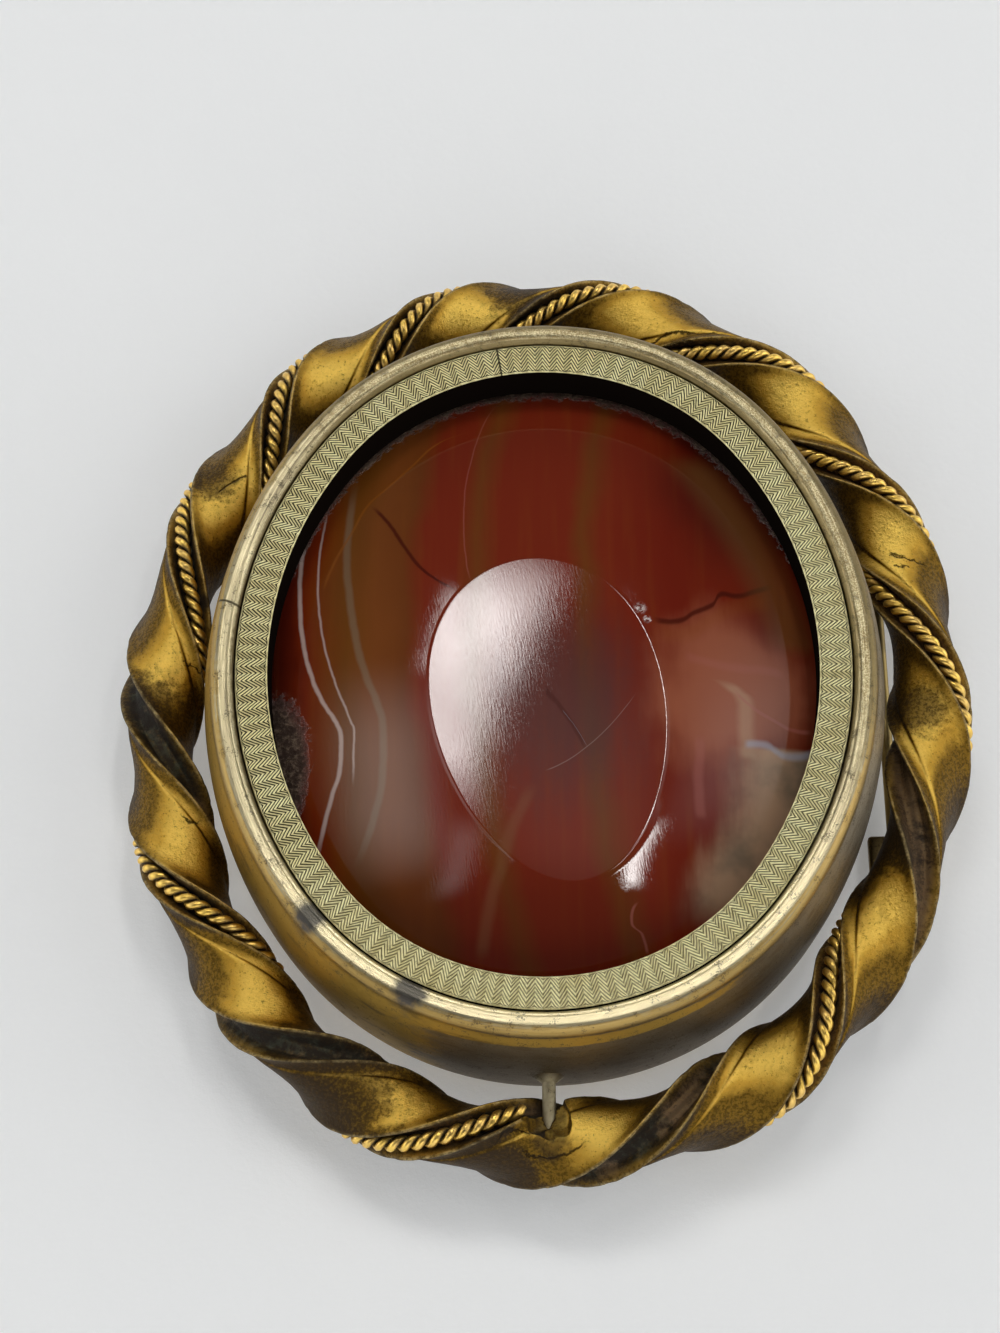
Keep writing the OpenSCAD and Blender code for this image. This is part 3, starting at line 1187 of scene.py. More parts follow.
@dataclass(frozen=True)
class EngravedBrass(Finish):
    """Pale brass cut with zigzag lines, dark in the cuts and dirty in places, with painted shade on the
    falling arms and at the left and top, and a painted sheen at the bottom and right.
    """

    bright: Colour = (1.0, 0.94, 0.55, 1)
    dull: Colour = (0.96, 0.87, 0.47, 1)
    shade: Colour = (0.42, 0.34, 0.13, 1)
    cut: Colour = (0.014, 0.011, 0.004, 1)
    green: Colour = (0.10, 0.10, 0.045, 1)
    # Near black: the inner wall is painted as the shade inside the collet.
    wall: Colour = (0.006, 0.004, 0.003, 1)
    # Share of a line's width over which its cut opens and closes.
    cut_opens: Point = (0.4, 0.56)
    cut_closes: Point = (0.84, 0.98)
    # Height where the wall ends and the face starts.
    face_starts: Point = (12.88, 12.95)
    relief_depth: float = 0.00002

    def make(self) -> bpy.types.Material:
        """Builds the material from the map, which counts the zigzags along and the cut lines across.

        Returns:
            The material.
        """
        graph = Graph("engraved_brass")
        where = graph.place()
        x, y, z = graph.parts(where)
        zigzags, lines = graph.uv()
        clouds = graph.noise(where, 0.5, 3)
        blotches = graph.noise(where, 1.6, 4, 0.6)
        specks = graph.noise(where, 9.0, 3, 0.6)
        strokes = graph.noise(graph.vector(zigzags * 2.0, lines, 0.0), 1.7, 2)
        line, arm = lines.fraction(), (zigzags + 0.5).fraction()
        in_cut = line.step(*self.cut_opens) * line.fall(*self.cut_closes)
        # The falling arms are painted darker than the rising ones: painted shade.
        falling = arm.ridge(0.0, 0.23, 0.04) + arm.ridge(1.0, 0.23, 0.04)
        # Duller by noise and towards the left and the top: aged brass and painted shade.
        aged_and_shaded = (clouds + x.fall(-21.0, -9.0) * 0.14 + y.step(8.0, 22.0) * 0.12).step(0.42, 0.7)
        # Painted sheen at the bottom and the right, which also lightens the cuts there.
        painted_sheen = y.fall(-24.0, -8.0) + x.step(10.0, 20.0) * 0.5
        arm_shade_and_tone = falling * 0.34 + strokes.step(0.42, 0.66) * (0.2 + painted_sheen * 0.15) + aged_and_shaded * 0.05
        dirt = (blotches * 0.7 + specks * 0.4).step(0.6, 0.76)
        seam = (x + (y - 23.7) * 0.16 + 2.9).ridge(0.0, 0.04, 0.06) * y.step(20.0, 21.0)
        colour = graph.layers(
            self.bright,
            (aged_and_shaded, self.dull),
            (arm_shade_and_tone.lesser(0.7), self.shade),
            (in_cut * (0.95 + strokes * 0.2 - painted_sheen * 0.5).lesser(0.98), self.cut),
            (dirt * 0.6, self.green),
            (seam * 0.9, self.cut),
        )
        face = z.step(*self.face_starts)
        return graph.surface(
            Base_Color=graph.mix(face, self.wall, colour),
            Metallic=face * (0.45 - in_cut * 0.3 - dirt * 0.2),
            Roughness=0.5 + specks * 0.15 + in_cut * 0.1,
            Specular_IOR_Level=0.0,
            Normal=graph.bump(specks + blotches, self.relief_depth),
        )


class Course(Enum):
    """Which way a vein in the stone mostly runs."""

    UPRIGHT = "upright"
    LEVEL = "level"


@dataclass(frozen=True)
class Vein:
    """A thin band or crack in the stone, drawn through a few points in millimetres."""

    course: Course
    half_width: float
    soft: float
    strength: float
    colour: Colour
    points: tuple[Point, ...]

    def mask(self, graph: Graph, x: Signal, y: Signal) -> Signal:
        """Is 1 on the vein.

        Args:
            graph: The stone's graph.
            x: The place to the right.
            y: The place upward.

        Returns:
            The mask, which fades at both ends of the vein.
        """
        upright = self.course is Course.UPRIGHT
        run, off = (y, x) if upright else (x, y)
        pairs = sorted((b, a) if upright else (a, b) for a, b in self.points)
        share, line = graph.drawn(run, pairs)
        ends = share.step(-0.02, 0.08) * share.fall(0.9, 1.03)
        return (off - line).ridge(0.0, self.half_width, self.soft) * ends * self.strength


@dataclass(frozen=True)
class PolishedAgate(Finish):
    """Red-brown agate with upright bands, white veins, a grey patch, cracks and cement at its border."""

    white: Colour = (0.66, 0.51, 0.45, 1)
    grey_green: Colour = (0.25, 0.20, 0.13, 1)
    rust: Colour = (0.30, 0.09, 0.012, 1)
    dark: Colour = (0.06, 0.006, 0.002, 1)
    pink: Colour = (0.42, 0.13, 0.10, 1)
    blush: Colour = (0.38, 0.12, 0.06, 1)
    beige: Colour = (0.54, 0.35, 0.21, 1)
    amber: Colour = (0.24, 0.13, 0.06, 1)
    olive: Colour = (0.17, 0.09, 0.025, 1)
    blue_white: Colour = (0.40, 0.40, 0.46, 1)
    cement: Colour = (0.06, 0.038, 0.027, 1)
    crumb: Colour = (0.25, 0.18, 0.125, 1)
    violet: Colour = (0.085, 0.028, 0.024, 1)
    splinter: Colour = (0.85, 0.74, 0.70, 1)
    # Places where the table's edge is chipped, and how far the pale splinters reach.
    chips: tuple[tuple[Point, float], ...] = (
        ((6.75, 4.05), 0.62),
        ((7.2, 3.2), 0.42),
        ((5.3, -15.9), 0.62),
    )
    # The left border of the grey-beige patch from bottom to top: place upward and place to the right.
    patch_border: tuple[Point, ...] = (
        (-18.2, 8.6),
        (-16.7, 8.9),
        (-14.5, 9.6),
        (-12.2, 11.0),
        (-9.9, 12.1),
        (-7.6, 12.5),
        (-5.9, 13.0),
    )
    # The dark shade at the upper right, and the blush to the right of the table: middle and reach.
    shade_place: tuple[Point, float] = ((15.5, 14.5), 9.0)
    blush_place: tuple[Point, float] = ((13.0, -2.0), 7.0)
    refraction: float = 1.7
    relief_depth: float = 0.0001

    def bands(self) -> list[tuple[float, tuple[float, ...]]]:
        """Colours of the upright bands from left to right, by their place in millimetres.

        Returns:
            Place and colour of each stop.
        """
        red, brown = (0.19, 0.021, 0.007), (0.16, 0.042, 0.008)
        return [
            # The two leftmost stops are darkened: painted shade of the collet wall over the stone's left
            # edge.
            (-19, (0.05, 0.005, 0.002)),
            (-17.4, (0.10, 0.010, 0.003)),
            (-16.4, (0.19, 0.022, 0.004)),
            (-15.2, (0.20, 0.045, 0.006)),
            (-13.6, (0.17, 0.055, 0.007)),
            (-11.6, (0.20, 0.057, 0.011)),
            (-9.6, brown),
            (-8.2, red),
            (-6.2, red),
            (-4.8, brown),
            (-3.2, red),
            (1.4, red),
            (2.6, brown),
            (4.2, red),
            (9.0, (0.16, 0.013, 0.004)),
            (13.0, (0.17, 0.016, 0.004)),
            (19.0, (0.12, 0.010, 0.003)),
        ]

    def veins(self) -> list[Vein]:
        """The veins and cracks, in the order in which they are laid over each other.

        Returns:
            The veins.
        """
        up, level = Course.UPRIGHT, Course.LEVEL
        return [
            Vein(up, 0.1, 0.3, 0.42, self.grey_green, (
                (-13.3, 15.1), (-13.6, 11.8), (-13.7, 9.0), (-13.4, 5.7), (-12.9, 2.5), (-12.1, -0.5),
                (-11.3, -2.6), (-10.9, -4.5), (-10.9, -7.7), (-11.4, -10.4), (-12.1, -12.6),
                (-12.5, -13.6),
            )),
            Vein(up, 0.06, 0.17, 0.75, self.white, (
                (-16.5, 12.4), (-16.8, 10.6), (-17.0, 8.7), (-17.0, 6.3), (-16.7, 3.1), (-15.9, -0.2),
                (-15.1, -2.1), (-14.1, -3.8), (-13.8, -4.8), (-13.8, -6.6), (-14.3, -8.7),
                (-14.8, -10.6), (-15.3, -13.0),
            )),
            Vein(up, 0.01, 0.12, 0.65, self.white, (
                (-15.2, 13.2), (-15.4, 11.9), (-15.7, 9.1), (-15.7, 6.5), (-15.3, 3.2), (-14.4, -0.4),
                (-13.7, -2.2), (-13.1, -3.8), (-12.9, -4.4), (-12.9, -5.5), (-12.9, -8.1),
            )),
            Vein(up, 0.03, 0.14, 0.6, self.rust, (
                (-5.7, 19.0), (-7.6, 18.1), (-9.2, 16.4), (-10.9, 14.7), (-12.3, 13.3), (-13.5, 10.9),
                (-14.3, 9.4), (-15.0, 7.7), (-15.3, 6.6),
            )),
            Vein(up, 0.01, 0.08, 0.3, self.pink, (
                (-3.2, 21.5), (-4.3, 19.1), (-5.0, 16.2), (-5.4, 13.3), (-5.4, 10.1), (-5.2, 7.7),
                (-4.9, 6.2),
            )),
            Vein(up, 0.1, 0.6, 0.22, self.amber, (
                (-0.9, -8.9), (-1.3, -10.0), (-2.2, -12.0), (-2.6, -13.3), (-2.9, -14.6),
                (-3.4, -15.9), (-3.8, -17.6), (-4.3, -20.5),
            )),
            Vein(up, 0.05, 0.2, 0.85, self.dark, (
                (-11.9, 13.1), (-10.5, 11.1), (-9.4, 9.1), (-8.2, 7.4), (-6.8, 6.2), (-6.1, 5.7),
            )),
            Vein(level, 0.05, 0.3, 0.85, self.dark, (
                (7.6, 3.2), (9.1, 3.1), (10.5, 3.9), (11.8, 4.6), (12.5, 5.5), (13.5, 5.4),
                (14.6, 5.8), (16.1, 6.4),
            )),
            Vein(level, 0.08, 0.4, 0.6, self.dark, ((0.1, -2.0), (1.1, -3.2), (2.1, -4.9), (2.8, -6.3))),
            Vein(level, 0.01, 0.05, 0.25, self.blue_white, ((1.3, -3.5), (2.2, -4.9), (2.9, -6.2))),
            Vein(level, 0.01, 0.05, 0.2, self.white, (
                (0.1, -7.9), (1.4, -7.3), (2.8, -6.3), (4.2, -5.0), (5.7, -3.2), (6.2, -2.5),
            )),
            Vein(up, 0.1, 2.6, 0.42, self.olive, (
                (10.4, 17.0), (12.2, 14.0), (14.2, 10.4), (16.2, 5.5), (17.6, 1.0),
            )),
            Vein(level, 0.1, 1.0, 0.16, self.rust, (
                (7.8, 2.3), (9.6, 2.2), (11.2, 3.1), (12.8, 4.2), (15.8, 5.2),
            )),
            Vein(up, 0.03, 0.12, 0.5, self.pink, (
                (6.0, -17.0), (5.6, -18.2), (6.3, -19.0), (6.6, -20.2),
            )),
            Vein(level, 0.05, 0.5, 0.3, self.pink, (
                (9.7, 0.5), (10.9, 0.2), (12.3, -0.1), (13.8, -0.2), (15.4, -0.2), (16.6, -0.8),
            )),
            Vein(up, 0.15, 0.7, 0.4, self.beige, (
                (12.1, -1.2), (13.1, -1.9), (13.7, -2.7), (13.7, -4.0), (13.7, -5.4), (13.8, -6.9),
            )),
            Vein(level, 0.04, 0.2, 0.45, self.pink, (
                (13.0, -1.9), (14.4, -3.2), (15.7, -3.9), (17.0, -4.5), (18.2, -4.5),
            )),
            Vein(up, 0.12, 0.4, 0.3, self.pink, (
                (10.4, -5.4), (10.5, -6.1), (10.3, -8.6), (10.4, -11.3),
            )),
            Vein(level, 0.05, 0.4, 0.65, self.blue_white, (
                (13.5, -5.8), (14.8, -5.7), (15.7, -6.1), (16.6, -6.4), (18.2, -5.6),
            )),
        ]

    def _patch(self, graph: Graph, x: Signal, y: Signal, ragged: Signal) -> Signal:
        """Is 1 on the grey-beige patch at the lower right.

        Args:
            graph: The graph of the finish.
            x: The place to the right.
            y: The place upward.
            ragged: Noise around 0, which makes the border ragged.

        Returns:
            The mask.
        """
        _, border = graph.drawn(y, self.patch_border)
        inside = (x - border + ragged * 2.4).step(-0.8, 2.6)
        return inside * y.fall(-6.2, -5.7) * y.step(-19.0, -16.0)

    def _cement(self, graph: Graph, x: Signal, y: Signal, crumbs: Signal, wisps: Signal) -> Signal:
        """Is 1 on the lump of cement at the left and on the crumbs along the upper border.

        Args:
            graph: The graph of the finish.
            x: The place to the right.
            y: The place upward.
            crumbs: Coarse noise.
            wisps: Noise drawn out upward.

        Returns:
            The mask.
        """
        left_side = graph.vector((x + 18.3) * 0.42, (y + 6.4) * 0.19, 0.0)
        lump = graph.length(left_side) + (crumbs - 0.5) * 0.9 + (wisps - 0.5) * 0.4
        border = graph.stored("border") + y.step(2.0, 14.0) * 0.05 + (crumbs - 0.5) * 0.14
        return lump.fall(0.7, 1.05).greater(border.step(0.95, 0.99))

    def make(self) -> bpy.types.Material:
        """Builds the material from the point on the stone and the stored share of the way to its edge.

        Returns:
            The material.
        """
        graph = Graph("agate")
        where = graph.place()
        x, y, _ = graph.parts(where)
        clouds = graph.noise(where, 0.12, 3)
        crumbs = graph.noise(where, 1.9, 5, 0.75)
        wisps = graph.noise(graph.vector(x * 0.55, y * 0.1, 0.0), 1.0, 4, 0.6)
        fine = graph.noise(graph.vector(x * 1.1, y * 0.07, 0.0), 1.0, 2, 0.5)
        bow = (y - 3.0) * (y - 3.0) * 0.006
        lane = x - bow + (clouds - 0.5) * 2.6 + (wisps - 0.5) * 0.6
        stops = self.bands()
        low, high = stops[0][0], stops[-1][0]
        stops = [((stop - low) / (high - low), tone) for stop, tone in stops]
        banded = graph.ramp((lane - low) / (high - low), stops)
        centred = graph.length(graph.vector(x - 1.5, (y + 3.0) * 0.75, 0.0))
        centred = (centred + (wisps - 0.5) * 6 + (crumbs - 0.5) * 2).fall(1.5, 7.5)
        shaded = graph.near(x, y, *self.shade_place, (clouds - 0.5) * 4)
        blush = graph.near(x, y, *self.blush_place, (clouds - 0.5) * 8 + (wisps - 0.5) * 3)
        milky = graph.mix(graph.noise(where, 0.3, 3).step(0.35, 0.7), self.beige, self.grey_green)
        colour = graph.layers(
            banded,
            (fine.step(0.45, 0.8) * 0.12, self.rust),
            (y.fall(-17.5, -12.5) * 0.4 * x.fall(3.0, 9.0), self.dark),
            (shaded * 0.7, self.dark),
            (centred * 0.75, self.violet),
            (blush * 0.75, self.blush),
            (self._patch(graph, x, y, wisps - 0.5) * 0.8, milky),
        )
        wander = (graph.noise(where, 0.9, 2) - 0.5) * 0.12
        for vein in self.veins():
            colour = graph.mix(vein.mask(graph, x + wander, y + wander), colour, vein.colour)
        cemented = self._cement(graph, x, y, crumbs, wisps)
        splinters: Operand = 0.0
        for chip, reach in self.chips:
            splinters = graph.near(x, y, chip, reach, (crumbs - 0.5) * 1.6).greater(splinters)
        colour = graph.layers(
            colour,
            (cemented * 0.94, graph.mix(crumbs.step(0.44, 0.66), self.cement, self.crumb)),
            (splinters * crumbs.step(0.47, 0.58), self.splinter),
        )
        scratches = graph.noise(graph.vector(x * 8.0 + y * 1.5, y * 1.2, 0.0), 1.0, 3, 0.6)
        return graph.surface(
            Base_Color=colour,
            Metallic=cemented * 0.85,
            Roughness=0.04 + cemented * 0.55 + graph.noise(where, 3.0, 4).step(0.5, 0.8) * 0.05,
            IOR=self.refraction,
            Normal=graph.bump(cemented * crumbs * 3 + scratches * 0.02, self.relief_depth),
        )


@dataclass(frozen=True)
class SatinBrass(Finish):
    """Plain satin brass with fine scratches, for the parts behind."""

    name: str
    # Brown-gold and darkened so that the fastening pin, where it shows in the gap at the right, reads as
    # the shade there: painted shade.
    base: Colour = (0.42, 0.31, 0.12, 1)
    dull: Colour = (0.22, 0.16, 0.07, 1)
    grime: Colour = (0.05, 0.04, 0.02, 1)
    relief_depth: float = 0.00001

    def make(self) -> bpy.types.Material:
        """Builds the material from the point on the object.

        Returns:
            The material.
        """
        graph = Graph(self.name)
        where = graph.place()
        x, y, z = graph.parts(where)
        clouds = graph.noise(where, 0.25, 4)
        specks = graph.noise(where, 7.0, 3)
        scratches = graph.noise(graph.vector(x * 0.4 + y * 0.3, y * 9.0 - x * 7.0, z * 4.0), 1.0, 4, 0.75)
        colour = graph.mix(clouds.step(0.4, 0.65), self.base, self.dull)
        colour = graph.mix((specks * 0.5 + clouds * 0.5).step(0.58, 0.7) * 0.6, colour, self.grime)
        return graph.surface(
            Base_Color=colour,
            Metallic=1.0,
            Roughness=0.3 + scratches * 0.22,
            Normal=graph.bump(scratches + specks * 0.4, self.relief_depth),
        )


@dataclass(frozen=True)
class PalePaper(Finish):
    """The pale matt sheet under the brooch, a little bright of itself so that its shadows stay faint."""

    white: Colour = (0.87, 0.88, 0.88, 1)
    shade: Colour = (0.84, 0.85, 0.855, 1)
    lift: float = 0.2
    relief_depth: float = 0.00004

    def make(self) -> bpy.types.Material:
        """Builds the material.

        Returns:
            The material.
        """
        graph = Graph("pale_paper")
        where = graph.place()
        clouds = graph.noise(where, 0.05, 3)
        fibres = graph.noise(where, 1.5, 4, 0.7)
        return graph.surface(
            Base_Color=graph.mix(clouds, self.white, self.shade),
            Roughness=0.75,
            Normal=graph.bump(fibres, self.relief_depth),
            Emission_Color=self.white,
            Emission_Strength=self.lift,
        )


# Pieces


@dataclass
class TwistedFrame:
    """The frame of twisted strip."""

    line: TwistLine = TWIST
    stations_a_groove: int = 56
    # Angle from one groove's middle to the next in degrees, and radius as a share of the lips' radius.
    section: tuple[Point, ...] = (
        (0, 0.64), (12, 0.645), (17, 0.68), (20, 0.83), (22.5, 0.955),
        (26, 1.0), (30, 0.955), (37, 0.865), (46, 0.79), (60, 0.73),
        (78, 0.70), (96, 0.71), (112, 0.745), (124, 0.785), (131, 0.803),
        (135, 0.787), (139, 0.805), (146, 0.865), (150, 0.93), (154, 1.0),
        (157.5, 0.955), (160, 0.83), (163, 0.68), (168, 0.645), (180, 0.64),
    )
    # Spacing of the section's points in degrees, up to an angle.
    spacing: tuple[Point, ...] = (
        (15, 5), (37, 1.7), (48, 2.8), (125, 5.5), (145, 2), (165, 1.7), (180, 5),
    )
    dent_depth: float = 0.1
    nick_depth: float = 0.14
    bore_radius: float = 0.5
    pin_end: float = 32.05
    # The ragged notch over the lower pin: its middle, its half sizes and its roughness.
    tear_middle: Triple = (0.15, -29.6, 9.5)
    tear_size: Triple = (2.2, 3.0, 2.55)
    tear_depth: float = 0.35
    tear_grain: float = 0.9
    # How far the painted highlight, the brightest part of each belly, lies towards the middle, in
    # degrees.
    highlight_lean: float = 13
    # Angle of a lip from its groove's middle, and how far its nicks reach to each side, in degrees.
    lip_angle: float = 26
    lip_reach: float = 7
    # Fineness of the dents, the ripples and the nicks, and where the last two start in the noise.
    dent_grain: float = 0.55
    ripple_grain: float = 2.1
    nick_grain: float = 1.3
    ripple_start: Triple = (7, 3, 1)
    nick_start: Triple = (31, 5, 9)
    nick_floor: float = 0.15

    def _angles(self) -> list[float]:
        """The angles of half a section.

        Returns:
            The angles in degrees, without the last.
        """
        angles, angle = [], 0.0
        for end, gap in self.spacing:
            steps = max(1, round((end - angle) / gap))
            angles += [angle + (end - angle) * k / steps for k in range(steps)]
            angle = end
        return angles

    def _share(self, angle: float) -> float:
        """Radius at an angle, as a share of the lips' radius, on a curve through the section's points.

        Args:
            angle: The angle in degrees.

        Returns:
            The share.
        """
        spots = self.section
        index = next(i for i in range(len(spots) - 1) if angle <= spots[i + 1][0])
        (a0, r0), (a1, r1) = spots[index], spots[index + 1]
        before = spots[max(index - 1, 0)]
        after = spots[min(index + 2, len(spots) - 1)]
        part = (angle - a0) / (a1 - a0)
        slope0 = (r1 - before[1]) / (a1 - before[0]) * (a1 - a0)
        slope1 = (after[1] - r0) / (after[0] - a0) * (a1 - a0)
        return flowing(r0, r1, (slope0, slope1), part)

    def build(self) -> Shape:
        """Sweeps the section along the twisting line and cuts the pins' holes.

        Returns:
            The finished piece.
        """
        half = self._angles()
        angles = half + [angle + 180 for angle in half]
        shares = [min(self._share(angle % 180), 1.0) for angle in angles]
        outline = []
        for angle, share in zip(angles, shares):
            radius, turn = share * self.line.radius, math.radians(angle)
            outline.append(Vector((radius * math.cos(turn), radius * math.sin(turn), 0)))
        rings = self.line.count * self.stations_a_groove
        turns = [index / self.stations_a_groove for index in range(rings)]
        section = poly_curve("strip_section", outline, True)
        path = poly_curve("twisted_strip", [self.line.point(turn, 0, 0) for turn in turns], True)
        path.data.twist_mode = "Z_UP"
        for spot, turn in zip(path.data.splines[0].points, turns):
            spot.tilt = -math.pi * turn
        path.data.bevel_mode = "OBJECT"
        path.data.bevel_object = section
        piece = to_mesh(path)
        bpy.data.objects.remove(section)
        self._map(piece, angles, rings)
        self._wear(piece, turns, angles)
        in_edit_mode(piece, face_outward)
        for cutter in (self._bore(1), self._bore(-1), self._tear()):
            cut_away(piece, cutter)
        store(piece, "facing", [self._facing(vertex) for vertex in piece.data.vertices])
        return finish_piece(piece, smooth_angle=50)

    def _facing(self, vertex: bpy.types.MeshVertex) -> float:
        """How far a point faces the place above the brooch's middle, where the painted highlight is
        brightest.

        Args:
            vertex: A vertex of the strip.

        Returns:
            The cosine of the angle between its normal and that direction.
        """
        inward = Vector((-vertex.co.x, -vertex.co.y, 0)).normalized()
        lean = math.radians(self.highlight_lean)
        return vertex.normal.dot(Vector((0, 0, math.cos(lean))) + inward * math.sin(lean))

    def _map(self, piece: Shape, angles: Sequence[float], rings: int) -> None:
        """Lays the map: across is the angle from the first groove as a share of a turn.

        Args:
            piece: The strip.
            angles: The angle of each point of a section.
            rings: How many rings the tube has.
        """
        layer = piece.data.uv_layers.active or piece.data.uv_layers.new(name="UVMap")
        around = len(angles)
        shares = [angle / 360 for angle in angles] + [1.0]
        for polygon in piece.data.polygons:
            spots = [(vertex % around, vertex // around) for vertex in polygon.vertices]
            last_spot = max(spot for spot, _ in spots)
            last_ring = max(ring for _, ring in spots)
            for corner, (spot, ring) in zip(polygon.loop_indices, spots):
                spot += around if last_spot - spot > around / 2 else 0
                ring += rings if last_ring - ring > rings / 2 else 0
                layer.data[corner].uv = (shares[spot], ring / rings)

    def _wear(self, piece: Shape, turns: Sequence[float], angles: Sequence[float]) -> None:
        """Presses in the small dents and lip nicks of a strip that was twisted by hand.

        Args:
            piece: The strip.
            turns: The count of grooves at each section.
            angles: The angle of each point of a section.
        """
        middles = [self.line.point(turn, 0, 0) for turn in turns]
        ripple_start, nick_start = Vector(self.ripple_start), Vector(self.nick_start)
        for index, vertex in enumerate(piece.data.vertices):
            ring, spot = divmod(index, len(angles))
            angle = angles[spot] % 180
            lip = max(0.0, 1 - abs(min(angle, 180 - angle) - self.lip_angle) / self.lip_reach)
            dents = 0.5 + 0.5 * noise.noise(vertex.co * self.dent_grain)
            ripple = 0.5 + 0.5 * noise.noise(vertex.co * self.ripple_grain + ripple_start)
            nick = max(0.0, noise.noise(vertex.co * self.nick_grain + nick_start) - self.nick_floor)
            press = self.dent_depth * (0.7 * dents + 0.3 * ripple) + self.nick_depth * lip * nick
            outward = (vertex.co - middles[ring]).normalized()
            vertex.co -= press * outward

    def _bore(self, side: int) -> Shape:
        """The cutter for one pin's bore.

        Args:
            side: 1 for the upper end and -1 for the lower one.

        Returns:
            The cutter.
        """
        inner, outer = OPENING.half_length, self.pin_end
        middle = (0, side * (inner + outer) / 2, PIN_HEIGHT)
        return add_rod(self.bore_radius, outer - inner, middle, ALONG_Y, sides=40)

    def _tear(self) -> Shape:
        """The cutter for the ragged notch that bares the lower pin.

        Returns:
            The cutter.
        """
        place, size = self.tear_middle, self.tear_size
        bpy.ops.mesh.primitive_ico_sphere_add(subdivisions=5, radius=1, location=place, scale=size)
        cutter = fix_place(bpy.context.object)
        roughen(cutter, self.tear_depth, self.tear_grain)
        return cutter


@dataclass
class GrooveWire:
    """A wire of two strands that lies in one of the strip's grooves."""

    name: str
    start: float
    end: float
    side: float
    node: str
    line: TwistLine = TWIST
    centre_radius: float = 2.43
    strand_radius: float = 0.285
    strand_offset: float = 0.275
    pitch: float = 2.0
    spacing: float = 0.115
    wire_radius: float = 0.56
    # How far ahead, in grooves, the wire's direction is taken.
    look: float = 0.004

    def _path(self) -> list[tuple[Vector, Vector, Vector]]:
        """The wire's middle at even steps, with two directions square to it.

        Returns:
            The place and the two directions at each step.
        """
        spots, turn = [], self.start
        while turn <= self.end:
            place = self.line.point(turn, self.centre_radius, self.side)
            along = self.line.point(turn + self.look, self.centre_radius, self.side) - place
            out = (place - self.line.point(turn, 0, 0)).normalized()
            across = along.cross(out).normalized()
            up = across.cross(along).normalized()
            spots.append((place, up, across))
            turn += self.look * self.spacing / along.length
        return spots

    def build(self) -> Shape:
        """Twists the two strands round each other along the groove.

        Returns:
            The finished piece.
        """
        path = self._path()
        strands = []
        for phase in (0.0, math.pi):
            points = []
            for step, (place, up, across) in enumerate(path):
                turn = phase - 2 * math.pi * step * self.spacing / self.pitch
                off = math.cos(turn) * up + math.sin(turn) * across
                points.append(place + self.strand_offset * off)
            strand = poly_curve(self.name, points, False)
            strand.data.twist_mode = "MINIMUM"
            strand.data.bevel_depth = self.strand_radius
            strand.data.bevel_resolution = 2
            strand.data.use_fill_caps = True
            strand = to_mesh(strand)
            around = len(strand.data.vertices) // len(path)
            crest = [
                (vertex.co - path[min(index // around, len(path) - 1)][0]).length / self.wire_radius
                for index, vertex in enumerate(strand.data.vertices)
            ]
            store(strand, "crest", crest)
            in_edit_mode(strand, self._close_ends)
            strands.append(strand)
        return finish_piece(join(strands), smooth_angle=60)

    @staticmethod
    def _close_ends() -> None:
        """Merges the end caps with the tube and turns all faces outwards."""
        bpy.ops.mesh.remove_doubles(threshold=CAP_GAP)
        face_outward()


